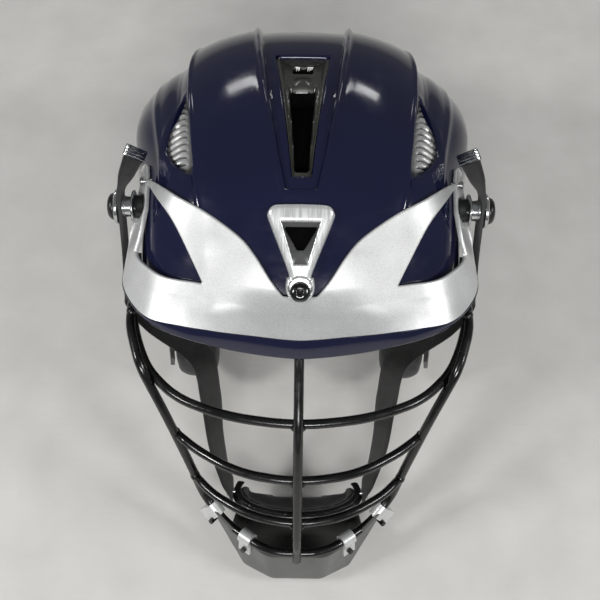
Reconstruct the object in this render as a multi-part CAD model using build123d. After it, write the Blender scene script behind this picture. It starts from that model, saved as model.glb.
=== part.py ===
from build123d import *
import math
import os

# Spans of the worn helmet, in millimetres. Tables of shares below are taken of these three:
# x of HALF_WIDTH, y of SHELL_LENGTH, z of CROWN_HEIGHT. Front is -Y, +X is the wearer's left.
HALF_WIDTH = 109.0
SHELL_LENGTH = 260.0
CROWN_HEIGHT = 127.0

# General fits
SEAT_GAP = 0.3
HOLE_CLEARANCE = 0.2
OVERRUN = 5.0
STAND_FLAT = 0.6

# Shell
WALL = 3.0
PANEL_STEP = 2.2
CHANNEL_DROP = 1.2
VENT_REACH = 30.0
# One row a station, from brow to nape: centre y, centre z, rim y, rim z, width, rim width
STATION_SHARES = [
    (-0.523, 0.220, -0.331, 0.236, 0.853, 0.849),
    (-0.469, 0.425, -0.308, 0.063, 0.881, 0.862),
    (-0.388, 0.669, -0.269, -0.079, 0.890, 0.853),
    (-0.231, 0.874, -0.200, -0.157, 0.917, 0.862),
    (-0.038, 0.992, -0.096, -0.189, 0.982, 0.908),
    (0.135, 0.976, 0.019, -0.213, 1.000, 0.927),
    (0.308, 0.811, 0.123, -0.252, 0.954, 0.881),
    (0.431, 0.472, 0.200, -0.299, 0.899, 0.826),
    (0.477, 0.039, 0.254, -0.339, 0.817, 0.752),
    (0.462, -0.339, 0.292, -0.362, 0.725, 0.720),
]
# Roundness of each station's arch: 1 is an ellipse, less is boxier
ROUNDNESS_SHARES = [0.95, 0.92, 0.78, 0.74, 0.76, 0.80, 0.80, 0.84, 0.88, 0.95]
# How much of the panel step each station keeps
STEP_SHARES = [0.03, 0.03, 0.3, 0.8, 1.0, 1.0, 1.0, 0.9, 0.6, 0.2]
# Where the panels meet, as a share of the arch from its top to its rim
OUTER_CREASE_SHARE = 0.30
INNER_CREASE_SHARES = [0.025, 0.025, 0.035, 0.05, 0.055, 0.065, 0.07, 0.075, 0.08, 0.08]
SIDE_VENT_SHARES = [
    (-0.670, -0.120, 0.840),
    (-0.745, -0.200, 0.730),
    (-0.720, -0.265, 0.670),
    (-0.575, -0.335, 0.670),
    (-0.600, -0.235, 0.770),
    (-0.640, -0.150, 0.820),
]
VENT_FACING_SHARES = (-0.55, -0.33, 0.77)

# Top channel
CHANNEL_FRONT_SHARE = -0.372
CHANNEL_BACK_SHARE = -0.045
CHANNEL_FRONT_HALF = 5.5
CHANNEL_BACK_HALF = 16.5
CHANNEL_DEPTH = 11.0
CHANNEL_WALL = 1.6
CHANNEL_BRIDGE = 4.0

# Visor: a brim, two wings and two side arms in one moulding
VISOR_WALL = 3.0
BRIM_CENTRE_SHARE = -0.115
# One row a section: turn from the front in degrees, then inner radius, inner z, outer radius,
# outer z, lip radius and lip z, as shares of HALF_WIDTH and CROWN_HEIGHT
BRIM_SHARES = [
    (0, 0.960, 0.262, 1.183, 0.157, 1.202, 0.063),
    (12, 0.955, 0.275, 1.174, 0.157, 1.193, 0.065),
    (24, 0.960, 0.280, 1.165, 0.130, 1.188, 0.060),
    (32, 1.035, 0.285, 1.192, 0.120, 1.210, 0.066),
    (40, 1.100, 0.283, 1.232, 0.115, 1.226, 0.075),
    (47, 1.115, 0.290, 1.225, 0.130, 1.215, 0.100),
    (53, 1.110, 0.305, 1.200, 0.180, 1.190, 0.155),
    (58, 1.055, 0.345, 1.115, 0.270, 1.105, 0.245),
    (62, 0.961, 0.430, 1.035, 0.390, 1.025, 0.365),
    (66, 0.909, 0.520, 0.964, 0.480, 0.955, 0.455),
    (70, 0.859, 0.600, 0.903, 0.560, 0.895, 0.535),
]
WING_TOP_SHARES = [
    (-0.868, -0.259, 0.551),
    (-0.790, -0.308, 0.583),
    (-0.647, -0.377, 0.588),
    (-0.496, -0.419, 0.562),
    (-0.321, -0.458, 0.487),
    (-0.236, -0.479, 0.416),
    (-0.152, -0.505, 0.317),
    (-0.085, -0.523, 0.258),
]
WING_LOW_SHARES = [
    (-0.500, -0.500, 0.245),
    (-0.561, -0.460, 0.354),
    (-0.668, -0.407, 0.494),
    (-0.784, -0.334, 0.548),
]
ARM_SHARES = [
    (-0.405, 0.160),
    (-0.375, 0.370),
    (-0.325, 0.515),
    (-0.225, 0.655),
    (-0.200, 0.625),
    (-0.245, 0.500),
    (-0.290, 0.335),
    (-0.325, 0.200),
]
VIEW_TILT = 35.0
FRONT_START_SHARE = 0.342
RIVET_SHARES = (-0.270, 0.545)
RIVET_HEAD = 5.0
RIVET_SHANK = 3.0
RIVET_HEAD_HEIGHT = 1.2

# Badge over the front vent, laid out in the plane seen from VIEW_TILT above the front
BADGE_THICKNESS = 4.5
BADGE_TOP_HALF = 16.5
BADGE_SHOULDER_HALF = 18.8
BADGE_WAIST_HALF = 6.6
BADGE_FOOT_HALF = 8.0
BADGE_TOP_RISE = 0.5
BADGE_SHOULDER_DROP = 5.5
BADGE_WAIST_DROP = 38.0
BADGE_FOOT_DROP = 52.0
BADGE_WINDOW_TOP_HALF = 11.8
BADGE_WINDOW_LOW_HALF = 4.0
BADGE_WINDOW_TOP_DROP = 8.4
BADGE_WINDOW_LOW_DROP = 34.4
BEZEL_WIDTH = 1.4
BEZEL_DEPTH = 5.0
BADGE_SCREW_SHARES = (0.0, -0.518, 0.276)
BADGE_SCREW_HEAD = 10.0
BADGE_SCREW_SHANK = 4.0
BADGE_SCREW_HEAD_HEIGHT = 2.6
BADGE_SCREW_LENGTH = 14.0
DRIVE_SHARE = 0.3
NUT_WIDTH = 8.0
NUT_HEIGHT = 3.0

# Cage
WIRE_DIAMETER = 5.6
BEND_SHARE = 0.34
BAR_1_SHARES = [
    (0.000, -0.665, -0.240),
    (0.385, -0.640, -0.232),
    (0.661, -0.588, -0.217),
    (0.826, -0.512, -0.181),
    (0.890, -0.465, -0.100),
    (0.922, -0.430, 0.030),
]
BAR_2_SHARES = [
    (0.000, -0.679, -0.567),
    (0.330, -0.654, -0.559),
    (0.569, -0.588, -0.543),
    (0.690, -0.552, -0.504),
]
BAR_3_SHARES = [
    (0.000, -0.676, -0.861),
    (0.275, -0.654, -0.850),
    (0.495, -0.592, -0.835),
    (0.600, -0.548, -0.803),
]
RAIL_SHARES = [
    (0.950, -0.215, 0.047),
    (0.930, -0.385, 0.047),
    (0.922, -0.465, 0.000),
    (0.853, -0.542, -0.110),
    (0.731, -0.558, -0.378),
    (0.615, -0.550, -0.740),
    (0.560, -0.538, -0.961),
    (0.422, -0.577, -1.087),
    (0.165, -0.658, -1.110),
]
TOP_WIRE_SHARES = [
    (0.000, -0.573, 0.100),
    (0.413, -0.535, 0.086),
    (0.734, -0.458, 0.078),
    (0.930, -0.385, 0.047),
]
CENTRE_BAR_SHARES = [
    (0.000, -0.573, 0.100),
    (0.000, -0.615, -0.020),
    (0.000, -0.686, -0.236),
    (0.000, -0.700, -0.567),
    (0.000, -0.696, -0.858),
    (0.000, -0.679, -1.115),
]
CLIP_WALL = 1.8
CLIP_LENGTH = 9.0
CLIP_SCREW_HEAD = 7.0
CLIP_SCREW_SHANK = 3.5
SIDE_CLIP_TAB = 11.0

# Chin guard
GUARD_WALL = 2.6
GUARD_TOP_SHARE = -0.930
GUARD_FLOOR_SHARE = -1.346
# Behind this y the guard's walls are only a low lip, up to this z
GUARD_BACK_SHARE = -0.535
GUARD_LIP_SHARE = -1.180
# Corners of the guard's two outlines, half of each: x and y shares
GUARD_TOP_SHARES = [(0.20, -0.676), (0.56, -0.560), (0.47, -0.450)]
GUARD_LOW_SHARES = [(0.15, -0.646), (0.33, -0.600), (0.32, -0.515)]

# Ear guards
EAR_GUARD_WALL = 2.8
EAR_GUARD_RADIUS = 150.0
EAR_GUARD_X_SHARE = 0.862
EAR_GUARD_CENTRE_SHARE = -0.085
EAR_GUARD_SHARES = [
    (-0.235, -0.060),
    (0.020, -0.060),
    (0.030, -0.300),
    (-0.010, -0.560),
    (-0.090, -0.700),
    (-0.190, -0.700),
    (-0.240, -0.560),
]
EAR_GUARD_CORNER = 8.0
EAR_SCREW_SHARES = [(-0.165, -0.110), (-0.030, -0.130)]
EAR_SCREW_HEAD = 9.0
EAR_SCREW_SHANK = 4.0
EAR_SCREW_HEAD_HEIGHT = 2.2
EAR_SCREW_LENGTH = 16.0
EAR_HOLE_SHARES = (-0.040, -0.300)
EAR_HOLE_RADIUS = 10.0

# Soft parts
JAW_PAD_ROUND = 6.0
JAW_WEB = 7.0
# One row a lobe: inner x, front y, back y, low z and high z
JAW_LOBE_SHARES = [(0.500, -0.225, -0.150, -0.760, -0.280), (0.600, -0.144, -0.070, -0.560, -0.400)]
LINER_GAP = 0.5
LINER_DEPTH = 17.0
COMFORT_DEPTH = 6.0

# Chin strap
STRAP_WIDTH = 19.0
STRAP_THICKNESS = 1.6
# Each row: how far outside the snap's plane, y, z, and the width's turn towards X in degrees
BAND_SHARES = [
    (-0.075, -0.262, 0.665, 0),
    (-0.030, -0.284, 0.585, 0),
    (-0.002, -0.298, 0.520, 0),
    (0.000, -0.305, 0.450, 0),
    (-0.002, -0.311, 0.370, 0),
    (-0.002, -0.320, 0.220, 0),
    (0.004, -0.332, 0.040, 0),
    (-0.012, -0.337, -0.030, 4),
    (-0.130, -0.350, -0.150, 20),
    (-0.390, -0.368, -0.330, 34),
    (-0.452, -0.400, -0.540, 34),
    (-0.480, -0.440, -0.760, 22),
    (-0.530, -0.478, -0.930, 6),
    (-0.573, -0.494, -1.000, 0),
    (-0.573, -0.495, -1.080, 0),
]
SNAP_SHARES = (-0.305, 0.450)
SNAP_STANDOFF = 12.5
STUD_SHANK = 4.0
STUD_FLANGE = 13.0
STUD_FLANGE_HEIGHT = 1.5
SOCKET_OUTER = 21.0
SOCKET_HEIGHT = 2.4
CAP_OUTER = 16.0
CAP_HEIGHT = 4.5
TAIL_END_LENGTH = 6.0
TAIL_END_WALL = 1.2
CUP_HALF_X = 42.0
CUP_HALF_Y = 22.0
CUP_HALF_Z = 14.5
CUP_CENTRE_SHARES = (0.0, -0.495, -1.045)
CUP_WALL = 2.6
CUP_PAD_DEPTH = 5.0
CUP_RIVET_HEAD = 7.0
CUP_RIVET_SHANK = 3.0

# Rear fit adjuster
DIAL_Z_SHARE = 0.060
DIAL_DIAMETER = 30.0
DIAL_THICKNESS = 8.0
DIAL_LOBES = 12
DIAL_LOBE_DEPTH = 1.2
HOUSING_DIAMETER = 38.0
HOUSING_THICKNESS = 3.0
LEAD_SCREW = 6.0
GUIDE_ROD = 4.0
GUIDE_SPREAD = 26.0
BRACKET_DEPTH = 10.0
BRACKET_HEIGHT = 16.0
SLEEVE_WALL = 2.0
CRADLE_WIDTH = 84.0
CRADLE_HEIGHT = 36.0
CRADLE_WALL = 3.0
CRADLE_BEND = 95.0
CRADLE_PAD = 8.0


def at(x_share, y_share, z_share):
    """The point whose x, y and z are shares of the three spans."""
    return Vector(x_share * HALF_WIDTH, y_share * SHELL_LENGTH, z_share * CROWN_HEIGHT)


def both_sides(shares):
    """A path from the right end over the middle to the left end, from its right half."""
    half = [at(*share) for share in shares]
    other = [Vector(-p.X, p.Y, p.Z) for p in half if p.X > 0]
    return half[::-1] + other


def between(column, t):
    """A smooth curve through a column of station values that lie one unit of t apart."""
    last = len(column) - 1
    i = min(int(t), last - 1)
    f = t - i
    a = column[i]
    b = column[i + 1]
    before = column[i - 1] if i > 0 else 2 * a - b
    after = column[i + 2] if i + 2 <= last else 2 * b - a
    slope_a = (b - before) / 2
    slope_b = (after - a) / 2
    bend = 3 * (b - a) - 2 * slope_a - slope_b
    twist = slope_a + slope_b - 2 * (b - a)
    return a + f * (slope_a + f * (bend + f * twist))


def skin(t, across, raised=0.0):
    """A point of the shell's outer skin, raised outwards in its station's own plane.

    t runs from 0 at the brow to 9 at the nape. across is 0 at the top of the arch,
    1 at the rim on +X and -1 at the other rim.
    """
    row = [between([station[i] for station in STATION_SHARES], t) for i in range(6)]
    roundness = between(ROUNDNESS_SHARES, t)
    centre_y = row[0] * SHELL_LENGTH
    centre_z = row[1] * CROWN_HEIGHT
    rim_y = row[2] * SHELL_LENGTH
    rim_z = row[3] * CROWN_HEIGHT
    width = row[4] * HALF_WIDTH
    start = -math.acos(min(row[5] / row[4], 1) ** (1 / roundness))
    height = math.hypot(centre_y - rim_y, centre_z - rim_z)
    low = -(abs(math.sin(start)) ** roundness)

    def flat(angle):
        side = math.copysign(abs(math.sin(angle)) ** roundness, math.sin(angle))
        return width * max(math.cos(angle), 0) ** roundness, height * (side - low) / (1 - low)

    angle = math.pi / 2 - abs(across) * (math.pi / 2 - start)
    nudge = 0.001
    x, v = flat(angle)
    x_before, v_before = flat(angle - nudge)
    x_after, v_after = flat(angle + nudge)
    run = math.hypot(x_after - x_before, v_after - v_before)
    x += raised * (v_after - v_before) / run
    v -= raised * (x_after - x_before) / run
    share = v / height
    return Vector(
        math.copysign(x, across),
        rim_y + (centre_y - rim_y) * share,
        rim_z + (centre_z - rim_z) * share,
    )


def skin_spline(t, start, end, steps, raised):
    """One smooth edge along a station's arch."""
    marks = [start + (end - start) * i / steps for i in range(steps + 1)]
    return Spline(*[skin(t, mark, raised) for mark in marks])


def panel_edges(t, raised):
    """The arch of one station as five panels joined by small steps, from -X to +X."""
    keep = between(STEP_SHARES, t)
    inner = between(INNER_CREASE_SHARES, t)
    marks = [-1, -OUTER_CREASE_SHARE, -inner, inner, OUTER_CREASE_SHARE, 1]
    high = PANEL_STEP * keep
    mid = (PANEL_STEP - CHANNEL_DROP) * keep
    heights = [0, high, mid, high, 0]
    steps = [6, 4, 4, 4, 6]
    edges = []
    for i in range(5):
        edges.append(skin_spline(t, marks[i], marks[i + 1], steps[i], raised + heights[i]))
        if i < 4:
            mark = marks[i + 1]
            edges.append(
                Line(skin(t, mark, raised + heights[i]), skin(t, mark, raised + heights[i + 1]))
            )
    return edges


def stations(start, end):
    """Half-unit stations between two ends, both ends included."""
    count = round((end - start) * 2)
    return [start + (end - start) * i / count for i in range(count + 1)]


def shell_shape():
    """The shell's wall: panelled outside, one smooth arch inside."""
    sections = []
    for t in stations(0, 9):
        outer = panel_edges(t, 0)
        inner = skin_spline(t, 1, -1, 16, -WALL)
        right = Line(skin(t, 1), skin(t, 1, -WALL))
        left = Line(skin(t, -1, -WALL), skin(t, -1))
        sections.append(make_face(Wire(outer + [right, inner, left])))
    return loft(sections)


def filled(raised, panelled=True):
    """Everything under the shell's skin, as one block for cutting, raised by a clearance."""
    sections = []
    for t in stations(0, 9):
        outer = panel_edges(t, raised) if panelled else [skin_spline(t, -1, 1, 16, raised)]
        base = Line(skin(t, 1, raised), skin(t, -1, raised))
        sections.append(make_face(Wire(outer + [base])))
    return loft(sections)


def layer(start, end, left, right, top, bottom, steps=8):
    """A slab that follows the skin, between two depths and two marks across the arch."""
    sections = []
    for t in stations(start, end):
        upper = skin_spline(t, left, right, steps, -top)
        lower = skin_spline(t, right, left, steps, -bottom)
        end_line = Line(skin(t, right, -top), skin(t, right, -bottom))
        start_line = Line(skin(t, left, -bottom), skin(t, left, -top))
        sections.append(make_face(Wire([upper, end_line, lower, start_line])))
    return loft(sections)


def mirror_x(shape):
    """The other side's copy."""
    return mirror(shape, about=Plane.YZ)


def prism(points, direction, reach, start=0.0):
    """A block with a flat outline, carried along a direction from a start to a reach."""
    face = make_face(points).moved(Location(direction * start))
    return extrude(face, amount=reach - start, dir=direction)


def skin_x(y, z):
    """The shell's half width at a height and depth, found by walking its skin."""
    best = None
    for i in range(181):
        for j in range(12, 41):
            point = skin(i / 20, j / 40)
            away = math.hypot(point.Y - y, point.Z - z)
            if best is None or away < best[0]:
                best = (away, point.X)
    return best[1]


def rod_along(path, diameter):
    """A round bar along a path."""
    return sweep(Plane(origin=path @ 0, z_dir=path % 0) * Circle(diameter / 2), path=path)


def wire_path(points):
    """Straight runs joined by arcs, each as large as its shorter run allows."""
    radii = []
    for before, corner, after in zip(points, points[1:], points[2:]):
        run = min((corner - before).length, (after - corner).length)
        turn = math.radians((corner - before).get_angle(after - corner))
        radii.append(BEND_SHARE * run / math.tan(turn / 2))
    return FilletPolyline(*points, radius=radii)


def wire(points):
    """One bent wire of the cage."""
    return rod_along(wire_path(points), WIRE_DIAMETER)


def bolt(head, shank, head_height, length):
    """A button-head screw that points down -Z, its head resting on z = 0, with a square drive."""
    screw = Pos(0, 0, head_height / 2) * Cylinder(head / 2, head_height)
    screw = fillet(screw.edges().group_by(Axis.Z)[-1], head_height * 0.6)
    screw += Pos(0, 0, -length / 2) * Cylinder(shank / 2, length)
    drive = head * DRIVE_SHARE
    screw -= Pos(0, 0, head_height) * Box(drive, drive, head_height)
    return screw


def facing(origin, direction):
    """A plane at a point whose Z looks along a direction."""
    return Plane(origin=origin, z_dir=direction)


parts = {}

# Shell, with its vents and the holes that its screws pass through
grown = filled(SEAT_GAP)
shell = shell_shape()

vent_facing = Vector(*VENT_FACING_SHARES).normalized()
vent_points = [at(*share) for share in SIDE_VENT_SHARES]
vent_plane = facing(vent_points[1], vent_facing)
vent_flat = [vent_plane.to_local_coords(p) for p in vent_points]
vent_outline = [vent_plane.from_local_coords(Vector(p.X, p.Y, 0)) for p in vent_flat]
vent_edge = [Spline(*vent_outline[:4]), Spline(vent_outline[3], *vent_outline[4:], vent_outline[0])]
side_vent = prism(vent_edge, vent_facing, VENT_REACH, -VENT_REACH)


def channel_outline(inset):
    """The top channel's opening seen from above, drawn in by an inset."""
    front = CHANNEL_FRONT_SHARE * SHELL_LENGTH + inset
    back = CHANNEL_BACK_SHARE * SHELL_LENGTH - inset
    front_half = CHANNEL_FRONT_HALF - inset
    back_half = CHANNEL_BACK_HALF - inset
    return Polyline(
        (-front_half, front), (front_half, front), (back_half, back), (-back_half, back), close=True
    )


def channel_block(inset):
    """The channel's opening as an upright block through the crown."""
    return extrude(make_face(channel_outline(inset)), amount=CROWN_HEIGHT + OVERRUN * 2)


view_up = Vector(0, math.sin(math.radians(VIEW_TILT)), math.cos(math.radians(VIEW_TILT)))
view_back = Vector(0, math.cos(math.radians(VIEW_TILT)), -math.sin(math.radians(VIEW_TILT)))


def seen(x, rise):
    """A point of the plane that the front is seen in, through the origin."""
    return Vector(x, 0, 0) + view_up * rise


def seen_share(share):
    """Where a point given in shares falls in that plane."""
    point = at(*share)
    return seen(point.X, point.dot(view_up))


def front_block(points):
    """A block of the front half, carried along the line of sight through an outline."""
    return prism(points, view_back * -1, SHELL_LENGTH, FRONT_START_SHARE * SHELL_LENGTH)


def badge_window(inset):
    """The badge's window, drawn in by an inset, carried along the line of sight."""
    top_half = BADGE_WINDOW_TOP_HALF - inset
    low_half = BADGE_WINDOW_LOW_HALF - inset * 0.7
    top = seen(top_half, -BADGE_WINDOW_TOP_DROP - inset)
    low = seen(low_half, -BADGE_WINDOW_LOW_DROP + inset)
    corners = [top, low, Vector(-low.X, low.Y, low.Z), Vector(-top.X, top.Y, top.Z)]
    return front_block(Polyline(*corners, close=True))


screw_place = at(*BADGE_SCREW_SHARES)
screw_facing = Vector(0, -math.cos(math.radians(VIEW_TILT)), math.sin(math.radians(VIEW_TILT)))
screw_plane = facing(screw_place + screw_facing * (BADGE_THICKNESS + SEAT_GAP), screw_facing)


def drilled(plane, diameter, reach):
    """A drill along a plane's Z, both ways."""
    return plane * Cylinder(diameter / 2, reach * 2)


snap_y = SNAP_SHARES[0] * SHELL_LENGTH
snap_z = SNAP_SHARES[1] * CROWN_HEIGHT
snap_x = skin_x(snap_y, snap_z)
rivet_y = RIVET_SHARES[0] * SHELL_LENGTH
rivet_z = RIVET_SHARES[1] * CROWN_HEIGHT
rivet_x = skin_x(rivet_y, rivet_z)
dial_z = DIAL_Z_SHARE * CROWN_HEIGHT
dial_y = max(skin(i / 20, 0).Y for i in range(140, 181))
dial_plane = Plane(origin=(0, dial_y, dial_z), x_dir=(1, 0, 0), z_dir=(0, 1, 0))
ear_screws = [(y * SHELL_LENGTH, z * CROWN_HEIGHT) for y, z in EAR_SCREW_SHARES]


def side_plane(x, y, z):
    """A plane on the +X side whose Z looks outwards."""
    return Plane(origin=(x, y, z), x_dir=(0, 1, 0), z_dir=(1, 0, 0))


side_drills = drilled(side_plane(snap_x, snap_y, snap_z), STUD_SHANK + HOLE_CLEARANCE, VENT_REACH)
side_drills += drilled(side_plane(rivet_x, rivet_y, rivet_z), RIVET_SHANK + HOLE_CLEARANCE, VENT_REACH)
for y, z in ear_screws:
    side_drills += drilled(side_plane(HALF_WIDTH, y, z), EAR_SCREW_SHANK + HOLE_CLEARANCE, VENT_REACH)

shell -= side_vent
shell -= mirror_x(side_vent)
shell -= channel_block(0)
shell -= badge_window(0)
shell -= drilled(screw_plane, BADGE_SCREW_SHANK + HOLE_CLEARANCE, VENT_REACH)
shell -= side_drills
shell -= mirror_x(side_drills)
parts["outer_shell"] = shell


# Visor
def brim_section(row, side):
    """One upright cross-section of the brim, turned from the front about the brim's centre."""
    turn, inner, inner_z, outer, outer_z, lip, lip_z = row
    angle = math.radians(turn) * side
    centre = Vector(0, BRIM_CENTRE_SHARE * SHELL_LENGTH, 0)
    out = Vector(math.sin(angle), -math.cos(angle), 0)

    def place(radius, z, thinner=0.0, lower=0.0):
        return centre + out * (radius * HALF_WIDTH - thinner) + Vector(0, 0, z * CROWN_HEIGHT - lower)

    corners = [
        place(inner, inner_z),
        place(outer, outer_z),
        place(lip, lip_z),
        place(lip, lip_z, VISOR_WALL),
        place(outer, outer_z, VISOR_WALL, VISOR_WALL),
        place(inner, inner_z, VISOR_WALL / 4, VISOR_WALL),
    ]
    return make_face(Polyline(*corners, close=True))


brim_sections = [brim_section(row, -1) for row in reversed(BRIM_SHARES)]
brim_sections += [brim_section(row, 1) for row in BRIM_SHARES[1:]]
brim = loft(brim_sections)
wing_top = [seen_share(share) for share in WING_TOP_SHARES]
wing_low = [seen_share(share) for share in WING_LOW_SHARES]
wing_foot = seen_share((WING_LOW_SHARES[0][0], WING_LOW_SHARES[0][1], BRIM_SHARES[2][4]))
wing_tip = seen_share(WING_TOP_SHARES[0])


def flipped(points):
    """The same points on the other side."""
    return [Vector(-p.X, p.Y, p.Z) for p in points]


wing_outline = [
    Spline(*wing_top),
    Spline(wing_top[-1], seen(0, wing_top[-1].dot(view_up) - BADGE_WAIST_HALF / 2), *flipped(wing_top[-1:])),
    Spline(*reversed(flipped(wing_top))),
    Spline(*flipped([wing_tip] + wing_low[::-1])),
    Line(*flipped([wing_low[0], wing_foot])),
    Line(flipped([wing_foot])[0], wing_foot),
    Line(wing_foot, wing_low[0]),
    Spline(*wing_low, wing_tip),
]
arm_points = [Vector(0, y * SHELL_LENGTH, z * CROWN_HEIGHT) for y, z in ARM_SHARES]
arm_block = prism([Spline(*arm_points[:4]), Line(arm_points[3], arm_points[4]),
                   Spline(*arm_points[4:]), Line(arm_points[-1], arm_points[0])],
                  Vector(1, 0, 0), HALF_WIDTH * 2)
visor_block = front_block(wing_outline) + arm_block + mirror_x(arm_block)
visor = (filled(SEAT_GAP + VISOR_WALL) & visor_block) - grown
visor = max(visor.solids(), key=lambda solid: solid.volume)
brim -= filled(SEAT_GAP + VISOR_WALL / 2)
brim = max(brim.solids(), key=lambda solid: solid.volume)
visor += brim
visor -= side_drills
visor -= mirror_x(side_drills)
parts["visor"] = visor

# Badge
badge_half = [
    seen(0, BADGE_TOP_RISE),
    seen(BADGE_TOP_HALF, BADGE_TOP_RISE / 2),
    seen(BADGE_SHOULDER_HALF, -BADGE_SHOULDER_DROP),
    seen(BADGE_WAIST_HALF, -BADGE_WAIST_DROP),
    seen(BADGE_FOOT_HALF, -BADGE_FOOT_DROP + BADGE_FOOT_HALF / 2),
    seen(BADGE_FOOT_HALF / 2, -BADGE_FOOT_DROP - BADGE_FOOT_HALF / 4),
]
badge_outline = Polyline(*badge_half, *reversed(flipped(badge_half[1:])), close=True)
badge = filled(SEAT_GAP + BADGE_THICKNESS) & front_block(badge_outline)
badge -= grown
badge -= badge_window(0)
badge -= visor
badge -= drilled(screw_plane, BADGE_SCREW_SHANK + HOLE_CLEARANCE, VENT_REACH)
parts["vent_badge"] = badge
bezel = layer(0.3, 2.5, -INNER_CREASE_SHARES[5], INNER_CREASE_SHARES[5], -BADGE_THICKNESS / 2, BEZEL_DEPTH)
bezel = bezel & badge_window(HOLE_CLEARANCE)
bezel -= badge_window(BEZEL_WIDTH + HOLE_CLEARANCE)
parts["badge_bezel"] = bezel
parts["badge_screw"] = screw_plane * bolt(
    BADGE_SCREW_HEAD, BADGE_SCREW_SHANK, BADGE_SCREW_HEAD_HEIGHT, BADGE_SCREW_LENGTH)


def nut(shank):
    """A hexagonal nut whose bore clears its screw, its face on z = 0, pointing down -Z."""
    body = extrude(RegularPolygon(NUT_WIDTH / 2, 6), amount=-NUT_HEIGHT)
    return body - Cylinder(shank / 2, NUT_HEIGHT * 4)


nut_drop = BADGE_SCREW_LENGTH - NUT_HEIGHT
parts["badge_nut"] = screw_plane * Pos(0, 0, -nut_drop) * nut(BADGE_SCREW_SHANK)

# Top channel: an open tray under the crown's slot, with a cross-bridge and two floor windows
channel_top = between(INNER_CREASE_SHARES, 4.5)
tray = layer(1.7, 4.3, -channel_top, channel_top, 0, CHANNEL_DEPTH) & channel_block(SEAT_GAP)
hollow = layer(1.5, 4.5, -channel_top, channel_top, -PANEL_STEP * 2, CHANNEL_DEPTH - CHANNEL_WALL)
tray -= hollow & channel_block(SEAT_GAP + CHANNEL_WALL)
channel_front = CHANNEL_FRONT_SHARE * SHELL_LENGTH
channel_back = CHANNEL_BACK_SHARE * SHELL_LENGTH
channel_run = channel_back - channel_front
for share, length_share in ((0.42, 0.3), (0.78, 0.22)):
    half = CHANNEL_FRONT_HALF + (CHANNEL_BACK_HALF - CHANNEL_FRONT_HALF) * share - CHANNEL_WALL * 2
    tray -= Pos(0, channel_front + channel_run * share, CROWN_HEIGHT) * Box(
        half, channel_run * length_share, CROWN_HEIGHT)
bridge = layer(1.7, 4.3, -channel_top, channel_top, CHANNEL_WALL * 2, CHANNEL_WALL * 3.5)
bridge = bridge & channel_block(SEAT_GAP + CHANNEL_WALL / 2)
bridge = bridge & (Pos(0, channel_front + channel_run * 0.62, CROWN_HEIGHT) * Box(
    HALF_WIDTH, CHANNEL_BRIDGE, CROWN_HEIGHT))
parts["top_channel"] = tray + bridge

# Cage: the centre bar lies over the cross bars, and each bar is coped where it meets another
centre_bar = wire([at(*share) for share in CENTRE_BAR_SHARES])
rail = wire(both_sides(RAIL_SHARES[::-1]))
bars = {}
bars["cage_bar_upper"] = wire(both_sides(BAR_1_SHARES))
bars["cage_bar_middle"] = wire(both_sides(BAR_2_SHARES))
bars["cage_bar_lower"] = wire(both_sides(BAR_3_SHARES))
top_wire = wire(both_sides(TOP_WIRE_SHARES)) - rail
centre_bar -= rail
centre_bar -= top_wire
parts["cage_rail"] = rail
parts["cage_top_wire"] = top_wire
parts["cage_centre_bar"] = centre_bar
for name, bar in bars.items():
    parts[name] = bar - rail - centre_bar - top_wire


def run_between(shares, index, share=0.5):
    """A plane on a wire's straight run after one of its corners, its Z along the run."""
    start = at(*shares[index])
    end = at(*shares[index + 1])
    return Plane(origin=start + (end - start) * share, z_dir=end - start)


# Side clips hold the rail's ends to the shell
rail_end = at(*RAIL_SHARES[0])
rail_run = (at(*RAIL_SHARES[1]) - rail_end).normalized()
clip_y = rail_end.Y - CLIP_LENGTH * 0.6
wire_hold = WIRE_DIAMETER / 2 + HOLE_CLEARANCE / 2
clip_plane = Plane(origin=rail_end + rail_run * CLIP_LENGTH * 0.6, z_dir=rail_run)
clip_outer = wire_hold + CLIP_WALL
side_clip = clip_plane * Cylinder(clip_outer, CLIP_LENGTH)
side_clip += Pos(rail_end.X + clip_outer / 2, clip_y, rail_end.Z - SIDE_CLIP_TAB) * Box(
    clip_outer, CLIP_LENGTH, SIDE_CLIP_TAB * 2)
side_clip -= clip_plane * Cylinder(wire_hold, CLIP_LENGTH * 2)
side_clip -= grown
clip_screw_z = rail_end.Z - clip_outer - SIDE_CLIP_TAB * 0.55
clip_screw_x = rail_end.X + clip_outer
clip_screw_plane = side_plane(clip_screw_x, clip_y, clip_screw_z)
clip_drill = drilled(clip_screw_plane, CLIP_SCREW_SHANK + HOLE_CLEARANCE, VENT_REACH)
side_clip -= clip_drill
side_clip = max(side_clip.solids(), key=lambda solid: solid.volume)
parts["side_clip_left"] = side_clip
parts["side_clip_right"] = mirror_x(side_clip)
clip_screw = clip_screw_plane * bolt(
    CLIP_SCREW_HEAD, CLIP_SCREW_SHANK, BADGE_SCREW_HEAD_HEIGHT, BADGE_SCREW_LENGTH)
parts["side_clip_screws"] = Compound([clip_screw, mirror_x(clip_screw)])
parts["outer_shell"] = parts["outer_shell"] - clip_drill - mirror_x(clip_drill)

# Ear guards
ear_x = EAR_GUARD_X_SHARE * HALF_WIDTH
ear_y = EAR_GUARD_CENTRE_SHARE * SHELL_LENGTH


def ear_cylinder(inset):
    """The round wall that the ear guard is cut from, drawn in by an inset."""
    centre_z = -CROWN_HEIGHT / 2
    return Pos(ear_x - EAR_GUARD_RADIUS, ear_y, centre_z) * Cylinder(
        EAR_GUARD_RADIUS - inset, CROWN_HEIGHT * 2)


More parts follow.
